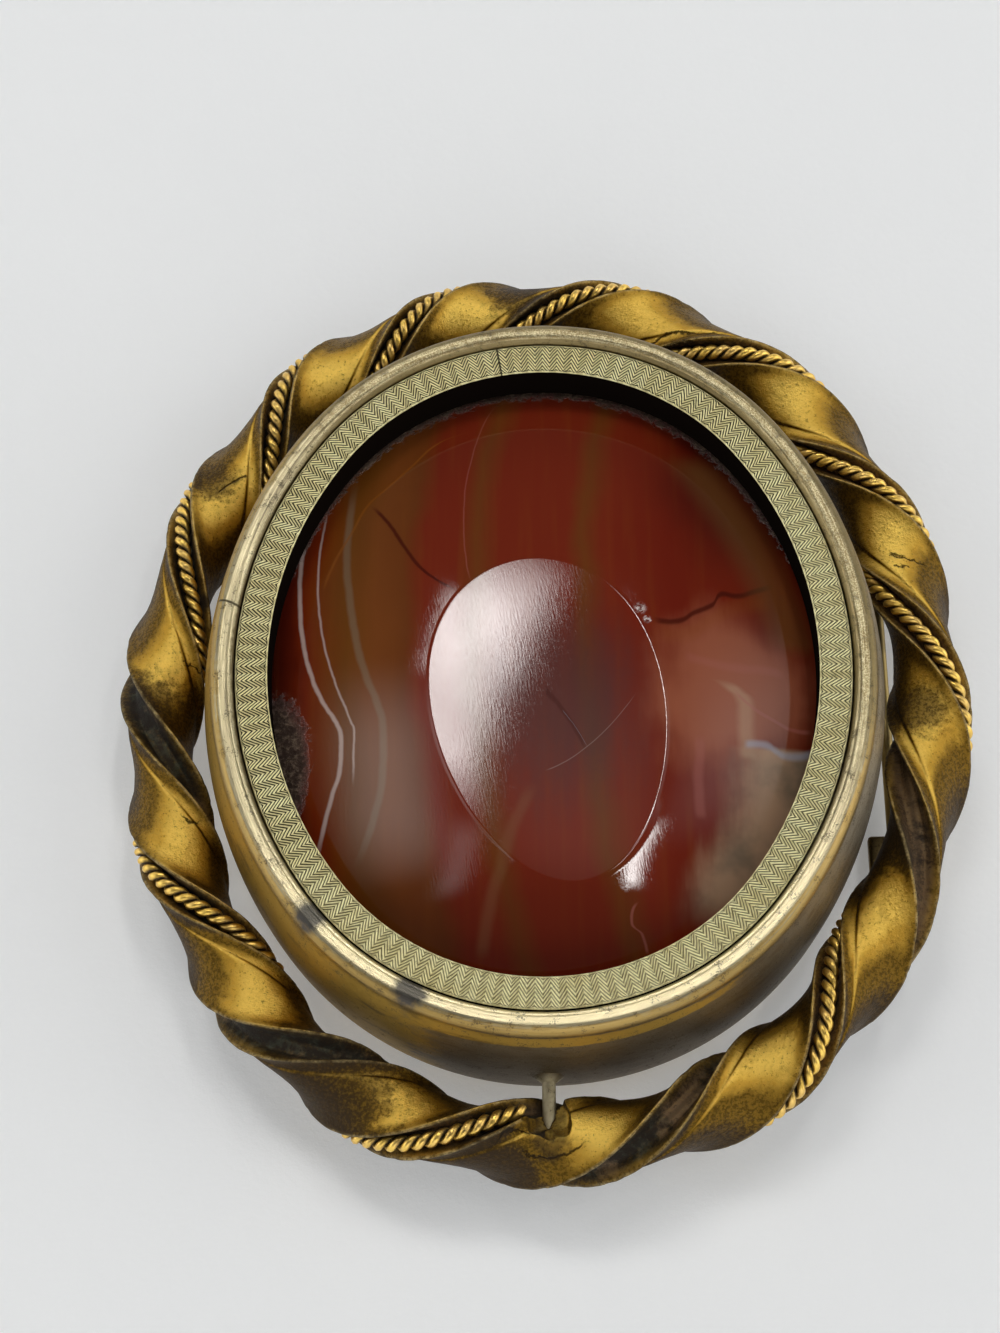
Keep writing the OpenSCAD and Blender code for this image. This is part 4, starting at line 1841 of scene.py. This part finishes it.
@dataclass
class LocketCase:
    """The drum, its two rim beads, the ledges inside and the swivel pins."""

    wall_out: float = 4.95
    wall_bulge: float = 1.0
    wall_thickness: float = 0.7
    bead_rise: float = 5.9
    bead_radius: float = 0.85
    # The two fine ridges on the bead: their places and half width in degrees, and their depth.
    ridges: Point = (92, 122)
    ridge_reach: float = 9
    ridge_depth: float = 0.07
    wall_points: int = 12
    bead_points: int = 24
    bead_turn: float = 210
    # The ledge behind each bead, and the shelf under the stone: reach outside the opening and faces.
    bead_foot: float = 1.9
    ledge_out: float = 0.62
    ledge_faces: Point = (5.7, 5.15)
    shelf_out: float = -0.6
    shelf_faces: Point = (1.25, 0.65)
    # How far inside the wall's inner face they start.
    ledge_root: float = 0.9
    shelf_roots: Point = (0.12, 0.05)
    pin_radius: float = 0.45
    pin_end: float = 31.98
    pin_bevel: float = 0.1
    solder_radius: float = 1.45
    solder_length: float = 0.75
    solder_seat: float = 0.35
    # The solder's radius at its tip, as a share of the pin's.
    solder_fit: float = 1.02
    steps: tuple[int, ...] = (26, 56, 52, 56, 26)

    def _outer(self) -> list[Point]:
        """The upper half of the outside, from the middle of the wall over the bead to its inner side.

        Returns:
            Distance outside the opening and height over the pins of each point.
        """
        wall_radius = (self.bead_rise**2 + self.wall_bulge**2) / (2 * self.wall_bulge)
        spots = []
        for step in range(self.wall_points):
            z = self.bead_rise * step / self.wall_points
            spots.append((self.wall_out - wall_radius + math.sqrt(wall_radius**2 - z**2), z))
        bead_x = self.wall_out - self.wall_bulge - self.bead_radius
        for step in range(self.bead_points + 1):
            angle = math.radians(self.bead_turn * step / self.bead_points)
            off = min(abs(math.degrees(angle) - ridge) for ridge in self.ridges)
            radius = self.bead_radius - self.ridge_depth * max(0.0, 1 - off / self.ridge_reach)
            spots.append((bead_x + radius * math.cos(angle), self.bead_rise + radius * math.sin(angle)))
        return spots

    def build(self) -> Shape:
        """Spins the drum and joins the pins to it.

        Returns:
            The finished piece.
        """
        upper = self._outer()
        inside = self.wall_out - self.wall_thickness
        front, back = self.ledge_faces
        ledge = [(self.bead_foot, front), (self.ledge_out, front)]
        ledge += [(self.ledge_out, back), (inside - self.ledge_root, back)]
        top, foot = self.shelf_faces
        top_root, foot_root = self.shelf_roots
        shelf = [(inside - top_root, top), (self.shelf_out, top)]
        shelf += [(self.shelf_out, foot), (inside - foot_root, foot)]
        lower = [(x, -z) for x, z in reversed(upper[1:] + ledge)]
        outline = upper + ledge + shelf + lower
        outline = [(OPENING.half_width + x, PIN_HEIGHT + max(z, -PIN_HEIGHT)) for x, z in outline]
        places = [Vector((x, 0, z)) for x, z in outline]
        piece = profile_loop("case_drum", places)
        OPENING.sweep(piece, self.steps)
        store(piece, "out", [OPENING.locate(v.co.x, v.co.y, self.steps)[1] for v in piece.data.vertices])
        for side in (1, -1):
            cut_away(piece, self._pin(side), "UNION")
            cut_away(piece, self._solder(side), "UNION")
        return finish_piece(piece, smooth_angle=28)

    def _pin(self, side: int) -> Shape:
        """One swivel pin, with a slightly battered end.

        Args:
            side: 1 for the upper end and -1 for the lower one.

        Returns:
            The pin.
        """
        inner = OPENING.half_length + self.wall_out - self.wall_thickness / 2
        middle = (0, side * (inner + self.pin_end) / 2, PIN_HEIGHT)
        pin = fix_place(add_rod(self.pin_radius, self.pin_end - inner, middle, ALONG_Y, sides=32))
        apply_modifier(pin, "BEVEL", width=self.pin_bevel, segments=3, limit_method="ANGLE")
        return pin

    def _solder(self, side: int) -> Shape:
        """The flare of solder round a pin's root.

        Args:
            side: 1 for the upper end and -1 for the lower one.

        Returns:
            The flare.
        """
        seat = OPENING.half_length + self.wall_out - self.solder_seat
        bpy.ops.mesh.primitive_cone_add(
            vertices=32,
            radius1=self.solder_radius,
            radius2=self.pin_radius * self.solder_fit,
            depth=self.solder_length,
            location=(0, side * (seat + self.solder_length / 2), PIN_HEIGHT),
            rotation=(-side * math.pi / 2, 0, 0),
        )
        return fix_place(bpy.context.object)


@dataclass
class EngravedBezel:
    """The flat ring with its cut zigzag lines, and its inner wall."""

    width: float = 2.2
    thickness: float = 0.5
    face_rise: float = 6.3
    wall_depth: float = 2.95
    wall_thickness: float = 0.5
    edge: float = 0.06
    line_gap: float = 0.315
    swing: float = 0.76
    cut_depth: float = 0.07
    # How far the lines waver, and how near the face's edge a row and a cut may come.
    waver: float = 0.09
    row_margin: float = 0.02
    cut_margin: float = 0.03
    # Least distance between two rows that meet at the edge.
    sliver: float = 0.0004
    # Fineness along and across of the waver and of the cuts' depth, and where each starts in the noise.
    waver_grain: Triple = (0.37, 0.11, 2.0)
    depth_grain: Triple = (0.2, 0.3, 9.0)
    # Four steps make one zigzag, with 33 zigzags on each side and 32 on each end.
    steps: tuple[int, ...] = (66, 128, 132, 128, 66)
    # Place within one line, and whether the cut is there.
    line_rows: tuple[tuple[float, bool], ...] = ((0.0, False), (0.25, False), (0.5, False), (0.75, True))

    def _rows(self) -> list[tuple[float, bool]]:
        """Places of all the rows across the ring, wide enough for the zigzag's swing.

        Returns:
            Distance outside the opening of each row, and whether it is a cut.
        """
        rows, line = [], 0
        first = -self.swing / 2
        while first + line * self.line_gap < self.width + self.swing / 2:
            rows += [(first + (line + part) * self.line_gap, cut) for part, cut in self.line_rows]
            line += 1
        return rows

    def build(self) -> Shape:
        """Spins the ring and cuts the zigzag by moving its rows from side to side.

        Returns:
            The finished piece.
        """
        top = PIN_HEIGHT + self.face_rise
        rows = self._rows()
        spread = self.width - 2 * self.edge
        face = [(self.edge + spread * (k + 1) / (len(rows) + 1), top) for k in range(len(rows))]
        outline = (
            [(0, top - self.wall_depth), (0, top - self.edge), (self.edge, top)]
            + face
            + [(self.width - self.edge, top), (self.width, top - self.edge)]
            + [(self.width, top - self.thickness), (self.wall_thickness, top - self.thickness)]
            + [(self.wall_thickness, top - self.wall_depth)]
        )
        places = [Vector((OPENING.half_width + x, 0, z)) for x, z in outline]
        piece = profile_loop("zigzag_bezel", places)
        OPENING.sweep(piece, self.steps)
        self._cut(piece, rows, top, spread)
        return finish_piece(piece, smooth_angle=20)

    def _cut(
        self, piece: Shape, rows: Sequence[tuple[float, bool]], top: float, spread: float
    ) -> None:
        """Moves the face's rows into the zigzag, presses in the cuts and lays the map.

        Args:
            piece: The ring.
            rows: Place of each row, and whether it is a cut.
            top: The height of its face.
            spread: The width of its face.
        """
        maps = {}
        low, high = self.edge, self.width - self.edge
        for vertex in piece.data.vertices:
            station, out = OPENING.locate(vertex.co.x, vertex.co.y, self.steps)
            row = round((out - self.edge) / spread * (len(rows) + 1)) - 1
            line = 0.0
            if vertex.co.z > top - 0.001 and 0 <= row < len(rows):
                station = round(station)
                place, is_cut = rows[row]
                swing = (0, 0.5, 0, -0.5)[station % 4] * self.swing
                wanted = place + swing + self.waver * self._rough(station, row, self.waver_grain)
                sliver = self.sliver * (row + 1)
                clear = min(max(wanted, low + sliver), high - self.row_margin + sliver)
                inside = low + self.cut_margin < wanted < high - self.cut_margin
                vertex.co = OPENING.point(self._direction(vertex.co), clear)
                depth = self.cut_depth * (0.8 + 0.4 * self._rough(station, row, self.depth_grain))
                vertex.co.z = top - (depth if is_cut and inside else 0.0)
                line = row / len(self.line_rows)
            maps[vertex.index] = (station / 4, line)
        self._lay_map(piece, maps)

    @staticmethod
    def _rough(station: int, row: int, grain: Triple) -> float:
        """Noise around 0 at a step and a row."""
        along, across, start = grain
        return noise.noise(Vector((station * along, row * across, start)))

    @staticmethod
    def _direction(place: Vector) -> float:
        """Direction that the oval faces at a point.

        Args:
            place: The point.

        Returns:
            The direction in radians.
        """
        if math.atan2(abs(place.y), abs(place.x) + OPENING.side_centre) <= OPENING.side_angle:
            return math.atan2(place.y, place.x + math.copysign(OPENING.side_centre, place.x))
        return math.atan2(place.y - math.copysign(OPENING.end_centre, place.y), place.x)

    def _lay_map(self, piece: Shape, maps: dict[int, Point]) -> None:
        """Stores the count of zigzags and of lines on every corner.

        Args:
            piece: The ring.
            maps: The two counts of each vertex, by its number.
        """
        layer = piece.data.uv_layers.active or piece.data.uv_layers.new(name="UVMap")
        whole = sum(self.steps) / 4
        for polygon in piece.data.polygons:
            spots = [maps[index] for index in polygon.vertices]
            high = max(along for along, _ in spots)
            for corner, (along, line) in zip(polygon.loop_indices, spots):
                layer.data[corner].uv = (along + (whole if high - along > whole / 2 else 0), line)


@dataclass
class Agate:
    """The polished stone with its oval table."""

    sides: int = 192
    table_middle: Point = (0.5, -3.9)
    table_half_width: float = 7.75
    table_half_length: float = 11.9
    table_turn: float = 9.75
    table_egg: float = 0.12
    table_height: float = 12.2
    crown: float = 2.7
    edge_thickness: float = 1.5
    edge_out: float = 1.0
    roundness: float = 0.3
    border_rings: int = 26
    edge_rounding: float = 0.2
    # Shares of the way to the stone's edge of the close rings round the table.
    near_rings: tuple[float, ...] = (0.0, 0.006, 0.012, 0.02, 0.03)
    # Middle and size of each chip at the table's edge.
    chips: tuple[tuple[Point, float], ...] = (
        ((6.75, 4.05), 0.45),
        ((7.2, 3.2), 0.32),
        ((5.3, -15.85), 0.45),
    )
    # How high a chip sits, and the depth and grain of its roughness, as shares of its size.
    chip_rise: float = 0.4
    chip_depth: float = 0.4
    chip_grain: float = 0.8
    # How far the extrusion first lifts each ring, before it goes to its place.
    lift: float = 0.05

    def _outer(self, index: int) -> Vector:
        """A point of the stone's own edge."""
        direction = OPENING.direction(index * 4 * OPENING.quarter / self.sides)
        return OPENING.point(direction, self.edge_out)

    def _table(self, index: int) -> Vector:
        """The matching point of the table's edge.

        Args:
            index: The number of the point.

        Returns:
            The point.
        """
        edge = self._outer(index)
        width, length = self._outer(0).x, self._outer(self.sides // 4).y
        turn = math.radians(self.table_turn)
        angle = math.atan2(edge.y / length, edge.x / width) - turn
        x = self.table_half_width * math.cos(angle) * (1 + self.table_egg * math.sin(angle))
        y = self.table_half_length * math.sin(angle)
        return Vector((
            self.table_middle[0] + x * math.cos(turn) - y * math.sin(turn),
            self.table_middle[1] + x * math.sin(turn) + y * math.cos(turn),
            0,
        ))

    def _ring(self, share: float) -> list[Vector]:
        """One ring of the border, from the table at 0 to the stone's edge at 1.

        Args:
            share: The share of the way.

        Returns:
            The ring's points.
        """
        ring = []
        for index in range(self.sides):
            inner, outer = self._table(index), self._outer(index)
            place = inner.lerp(outer, share)
            fall = (1 - self.roundness) * share + self.roundness * share * share
            soft = self.edge_rounding / (outer - inner).length
            if share < soft:
                fall = (1 - self.roundness) * share * share / soft * (1 - 0.5 * share / soft)
                fall += self.roundness * share * share * share / soft
            place.z = self.table_height - self.crown * fall
            ring.append(place)
        return ring

    def build(self) -> Shape:
        """Extrudes the stone's edge ring by ring up to the table, closes it and chips it.

        Returns:
            The finished piece.
        """
        last = self.near_rings[-1]
        far = [last + (1 - last) * k / self.border_rings for k in range(1, self.border_rings + 1)]
        shares = [*reversed(far), *reversed(self.near_rings)]
        rings = [self._ring(share) for share in shares]
        foot = self.table_height - self.crown - self.edge_thickness
        base = [Vector((place.x, place.y, foot)) for place in rings[0]]
        piece = profile_loop("agate_stone", base)

        def raise_rings() -> None:
            """Closes the flat foot, then extrudes one ring for each share and closes the table."""
            bpy.ops.mesh.edge_face_add()
            for _ in rings:
                bpy.ops.mesh.extrude_region_move(TRANSFORM_OT_translate={"value": (0, 0, self.lift)})

        in_edit_mode(piece, raise_rings)
        for index, vertex in enumerate(piece.data.vertices):
            ring, side = divmod(index, self.sides)
            if ring:
                vertex.co = rings[ring - 1][side]
        border = [1.0, *shares]
        store(piece, "border", [border[i // self.sides] for i in range(len(piece.data.vertices))])
        in_edit_mode(piece, face_outward)
        for (x, y), size in self.chips:
            place = (x, y, self.table_height + size * self.chip_rise)
            bpy.ops.mesh.primitive_ico_sphere_add(subdivisions=3, radius=size, location=place)
            chip = fix_place(bpy.context.object)
            roughen(chip, size * self.chip_depth, size * self.chip_grain)
            cut_away(piece, chip)
        return finish_piece(piece, smooth_angle=35)


@dataclass
class BroochPin:
    """The plain fastening pin under the frame: a hinge block, a stem with a point and a catch."""

    stem_x: float = 24.5
    stem_height: float = 1.05
    stem_radius: float = 0.45
    hinge_y: float = 15.95
    catch_y: float = -11.4
    foot_top: float = 2.75
    foot_size: Triple = (4.0, 4.0, 0.9)
    foot_bevel: float = 0.25
    block_length: float = 3.0
    block_radius: float = 1.05
    block_bevel: float = 0.12
    # How far the stem's point reaches past the catch, and the length and end of the point.
    past_catch: float = 2.0
    point_length: float = 3.2
    point_end: float = 0.25
    # The catch: its bend's half sizes, its turn in degrees, its half width, thickness and seat.
    hook_size: Point = (0.8, 0.78)
    hook_turn: float = 250
    hook_points: int = 15
    hook_half_width: float = 1.0
    hook_thickness: float = 0.4
    hook_seat: float = 0.3

    def build(self) -> Shape:
        """Makes the feet, the block, the stem and the catch, and joins them into one.

        Returns:
            The finished piece.
        """
        parts = []
        for y in (self.hinge_y, self.catch_y):
            middle = (self.stem_x, y, self.foot_top - self.foot_size[2] / 2)
            bpy.ops.mesh.primitive_cube_add(size=1, location=middle, scale=self.foot_size)
            parts.append(self._eased(self.foot_bevel))
        hinge = (self.stem_x, self.hinge_y, self.stem_height)
        add_rod(self.block_radius, self.block_length, hinge, ALONG_X, sides=48)
        parts.append(self._eased(self.block_bevel))
        parts.append(self._stem())
        parts.append(self._catch())
        piece = parts[0]
        for other in parts[1:]:
            cut_away(piece, other, "UNION")
        piece.name = "fastening_pin"
        return finish_piece(piece, smooth_angle=40)

    @staticmethod
    def _eased(width: float) -> Shape:
        """Applies the new primitive's place and eases its edges.

        Args:
            width: The width of the bevel.

        Returns:
            The primitive.
        """
        piece = fix_place(bpy.context.object)
        apply_modifier(piece, "BEVEL", width=width, segments=3, limit_method="ANGLE")
        return piece

    def _stem(self) -> Shape:
        """The stem, drawn out to a point past the catch.

        Returns:
            The stem.
        """
        start, end = self.hinge_y, self.catch_y - self.past_catch
        middle = (self.stem_x, (start + end) / 2, self.stem_height)
        stem = fix_place(add_rod(self.stem_radius, start - end, middle, ALONG_Y, sides=24))
        select_vertices(stem, lambda place: place.y < end + 0.01)
        bpy.ops.object.mode_set(mode="EDIT")
        bpy.ops.transform.translate(value=(0, self.point_length, 0))
        bpy.ops.mesh.extrude_region_move(TRANSFORM_OT_translate={"value": (0, -self.point_length, 0)})
        thinner = (self.point_end, 1, self.point_end)
        bpy.ops.transform.resize(value=thinner, center_override=(self.stem_x, 0, self.stem_height))
        bpy.ops.object.mode_set(mode="OBJECT")
        return stem

    def _catch(self) -> Shape:
        """The catch, a strip bent round the stem.

        Returns:
            The catch.
        """
        bend = [Vector((self.stem_x, self.catch_y, self.foot_top - self.hook_seat))]
        for step in range(self.hook_points):
            angle = math.radians(90 + self.hook_turn * step / (self.hook_points - 1))
            x = self.stem_x + self.hook_size[0] * math.cos(angle)
            z = self.stem_height + self.hook_size[1] * math.sin(angle)
            bend.append(Vector((x, self.catch_y, z)))
        hook = poly_curve("catch", bend, False)
        for point in hook.data.splines[0].points:
            point.tilt = math.pi / 2
        hook.data.extrude = self.hook_half_width
        hook.data.twist_mode = "Z_UP"
        hook = to_mesh(hook)
        apply_modifier(hook, "SOLIDIFY", thickness=self.hook_thickness, offset=0)
        return hook


@dataclass(frozen=True)
class Glow(Finish):
    """The glowing cloth of a softbox, which fades towards its edges."""

    radiance: float
    # Share of its width and of its height over which it fades at each edge.
    fade: Point
    # How much its folds darken it.
    folds: float
    warm: Colour = (1, 0.98, 0.96, 1)
    black: Colour = (0, 0, 0, 1)

    def make(self) -> bpy.types.Material:
        """Builds the material from the cloth's own map.

        Returns:
            The material.
        """
        graph = Graph("softbox_glow")
        across, along = graph.uv()
        side, end = self.fade
        inside = across.step(0.0, side) * across.fall(1 - side, 1.0)
        inside = inside * along.step(0.0, end) * along.fall(1 - end, 1.0)
        slant = graph.vector(across * 16 + along * 11, along * 2.5, 0.0)
        folds = graph.noise(slant, 1.0, 4, 0.65).step(0.38, 0.62)
        return graph.surface(
            Base_Color=self.black,
            Roughness=1.0,
            Specular_IOR_Level=0.0,
            Emission_Color=graph.mix(folds.step(0.4, 0.65) * self.folds, self.warm, self.black),
            Emission_Strength=self.radiance,
            Alpha=inside,
        )


@dataclass(frozen=True)
class Lamp:
    """A rectangular light that faces the brooch."""

    name: str
    # Direction from the brooch.
    towards: Triple
    # Width and height as shares of its distance.
    size: Point
    # Brightness of its face, in watts for each square metre and steradian.
    radiance: float
    # How far its upper end leans to the left, in degrees.
    roll: float = 0.0
    # Share of a softbox's width and height over which it fades at each edge.
    fade: Point = (0.2, 0.2)
    # How much a softbox's folds darken it.
    folds: float = 0.0
    # Distance from the brooch in millimetres.
    distance: float = 4000.0

    def _place(self, lamp: Shape) -> None:
        """Puts the lamp where it belongs and turns it to the brooch.

        Args:
            lamp: The lamp.
        """
        towards = Vector(self.towards).normalized()
        across = Vector((0, 1, 0)).cross(towards).normalized()
        upright = Matrix((across, towards.cross(across), towards)).transposed()
        look = upright @ Matrix.Rotation(math.radians(self.roll), 3, "Z")
        lamp.name = self.name
        lamp.location = towards * self.distance * MM
        lamp.rotation_euler = look.to_euler()

    def build_area(self) -> None:
        """Makes an area light."""
        bpy.ops.object.light_add(type="AREA")
        lamp = bpy.context.object
        width, height = (share * self.distance * MM for share in self.size)
        lamp.data.shape = "RECTANGLE"
        lamp.data.size, lamp.data.size_y = width, height
        lamp.data.energy = self.radiance * math.pi * width * height
        self._place(lamp)

    def build_softbox(self) -> None:
        """Makes a glowing sheet with soft edges."""
        bpy.ops.mesh.primitive_plane_add(size=1)
        sheet = bpy.context.object
        sheet.scale = (*(share * self.distance * MM for share in self.size), 1)
        self._place(sheet)
        Glow(self.radiance, self.fade, self.folds).dress(sheet)


@dataclass
class Setting:
    """The floor, the lights and the camera."""

    floor_size: float = 3000.0
    eye: Triple = (1.096, -69.763, 167.774)
    aim: Triple = (-3.085, 2.622, 5.8)
    roll: float = -3.93
    lens: float = 67.52
    nearest: float = 5.0
    lamps: tuple[Lamp, ...] = (
        Lamp("left_panel", (-0.88, 0.0, 0.42), (0.87, 0.6), 0.9),
        Lamp("right_panel", (0.88, 0.0, 0.42), (0.87, 0.6), 1.3),
        Lamp("front_panel", (0.1, -0.82, 0.56), (0.87, 0.5), 1.4),
    )
    softboxes: tuple[Lamp, ...] = (
        Lamp("window", (-0.17, 0.457, 0.873), (0.33, 0.24), 13.3, -25.0, (0.08, 0.3), 0.62),
        Lamp("lamp_strip", (0.2, 0.4, 0.895), (0.08, 0.44), 18.0, 0.0, (0.3, 0.25)),
        Lamp("lamp_low", (0.37, 0.03, 0.93), (0.055, 0.34), 15.0, -9.5, (0.35, 0.2)),
        Lamp("pane", (-0.342, 0.055, 0.938), (0.06, 0.28), 0.8, -12.0, (0.3, 0.3)),
        Lamp("curtain", (-0.43, 0.22, 0.875), (0.26, 0.5), 1.05, 0.0, (0.45, 0.4)),
        Lamp("right_glow", (0.5, 0.3, 0.8), (0.36, 0.54), 0.6, 0.0, (0.45, 0.45)),
        Lamp("ceiling_glow", (0.02, 0.34, 0.94), (0.24, 0.26), 0.25, 0.0, (0.45, 0.45)),
    )
    sky: Colour = (0.95, 0.98, 1.0, 1)
    ceiling: Colour = (0.025, 0.026, 0.028, 1)
    # Sine of the height over the horizon where the sky starts to darken, and where it is dark.
    sky_fade: Point = (0.25, 0.52)
    sky_strength: float = 1.1

    def build(self) -> None:
        """Makes the floor, the lights, the sky and the camera."""
        bpy.ops.mesh.primitive_plane_add(size=self.floor_size * MM, location=(0, 0, 0))
        floor = bpy.context.object
        floor.name = "pale_floor"
        PalePaper().dress(floor)
        for lamp in self.lamps:
            lamp.build_area()
        for softbox in self.softboxes:
            softbox.build_softbox()
        self._sky()
        self._camera()

    def _sky(self) -> None:
        """Makes a room that is bright round the sides and dark overhead."""
        world = bpy.data.worlds.new("soft_sky")
        world.use_nodes = True
        graph = Graph.of_tree(world.node_tree)
        _, _, height = graph.parts(graph.node("ShaderNodeTexCoord", output="Generated"))
        colour = graph.mix(height.step(*self.sky_fade), self.sky, self.ceiling)
        background = world.node_tree.nodes["Background"]
        world.node_tree.links.new(colour.socket, background.inputs["Color"])
        background.inputs["Strength"].default_value = self.sky_strength
        bpy.context.scene.world = world

    def _camera(self) -> None:
        """Adds the camera at the photo's angle."""
        eye, aim = Vector(self.eye) * MM, Vector(self.aim) * MM
        bpy.ops.object.camera_add(location=eye)
        camera = bpy.context.object
        camera.name = "main_camera"
        look = (aim - eye).to_track_quat("-Z", "Y")
        roll = Matrix.Rotation(math.radians(self.roll), 3, "Z")
        camera.rotation_euler = (look.to_matrix() @ roll).to_euler()
        camera.data.lens = self.lens
        camera.data.clip_start = self.nearest * MM
        camera.data.dof.use_dof = False
        bpy.context.scene.camera = camera


def main() -> None:
    """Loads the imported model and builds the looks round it."""
    logging.basicConfig(level=logging.INFO, format="%(message)s")
    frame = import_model()
    bpy.context.scene.view_settings.view_transform = "Standard"

    strip = TwistedFrame().build()
    GiltStrip().dress(strip)
    place_on(strip, "frame", "gilt_strip", "twisted_frame")

    for wire in (
        GrooveWire("long_rope", 10.0, 23.75, math.pi, "long_wire"),
        GrooveWire("short_rope", 13.5, 19.5, 0.0, "short_wire"),
    ):
        rope = wire.build()
        GiltWire(wire.name + "_gilt").dress(rope)
        place_on(rope, "frame", "gilt_wire", wire.node)

    drum = LocketCase().build()
    CaseBrass().dress(drum)
    place_on(drum, "locket", "case_brass", "locket_case")

    bezel = EngravedBezel().build()
    EngravedBrass().dress(bezel)
    place_on(bezel, "locket", "engraved_brass", "engraved_bezel")

    stone = Agate().build()
    PolishedAgate().dress(stone)
    place_on(stone, "locket", "agate", "agate")

    pin = BroochPin().build()
    SatinBrass("pin_brass").dress(pin)
    place_on(pin, "frame", "pin_brass", "brooch_pin")

    SatinBrass("plate_brass").dress(frame["nodes"]["back_plate"])

    Setting().build()


if __name__ == "__main__":
    main()
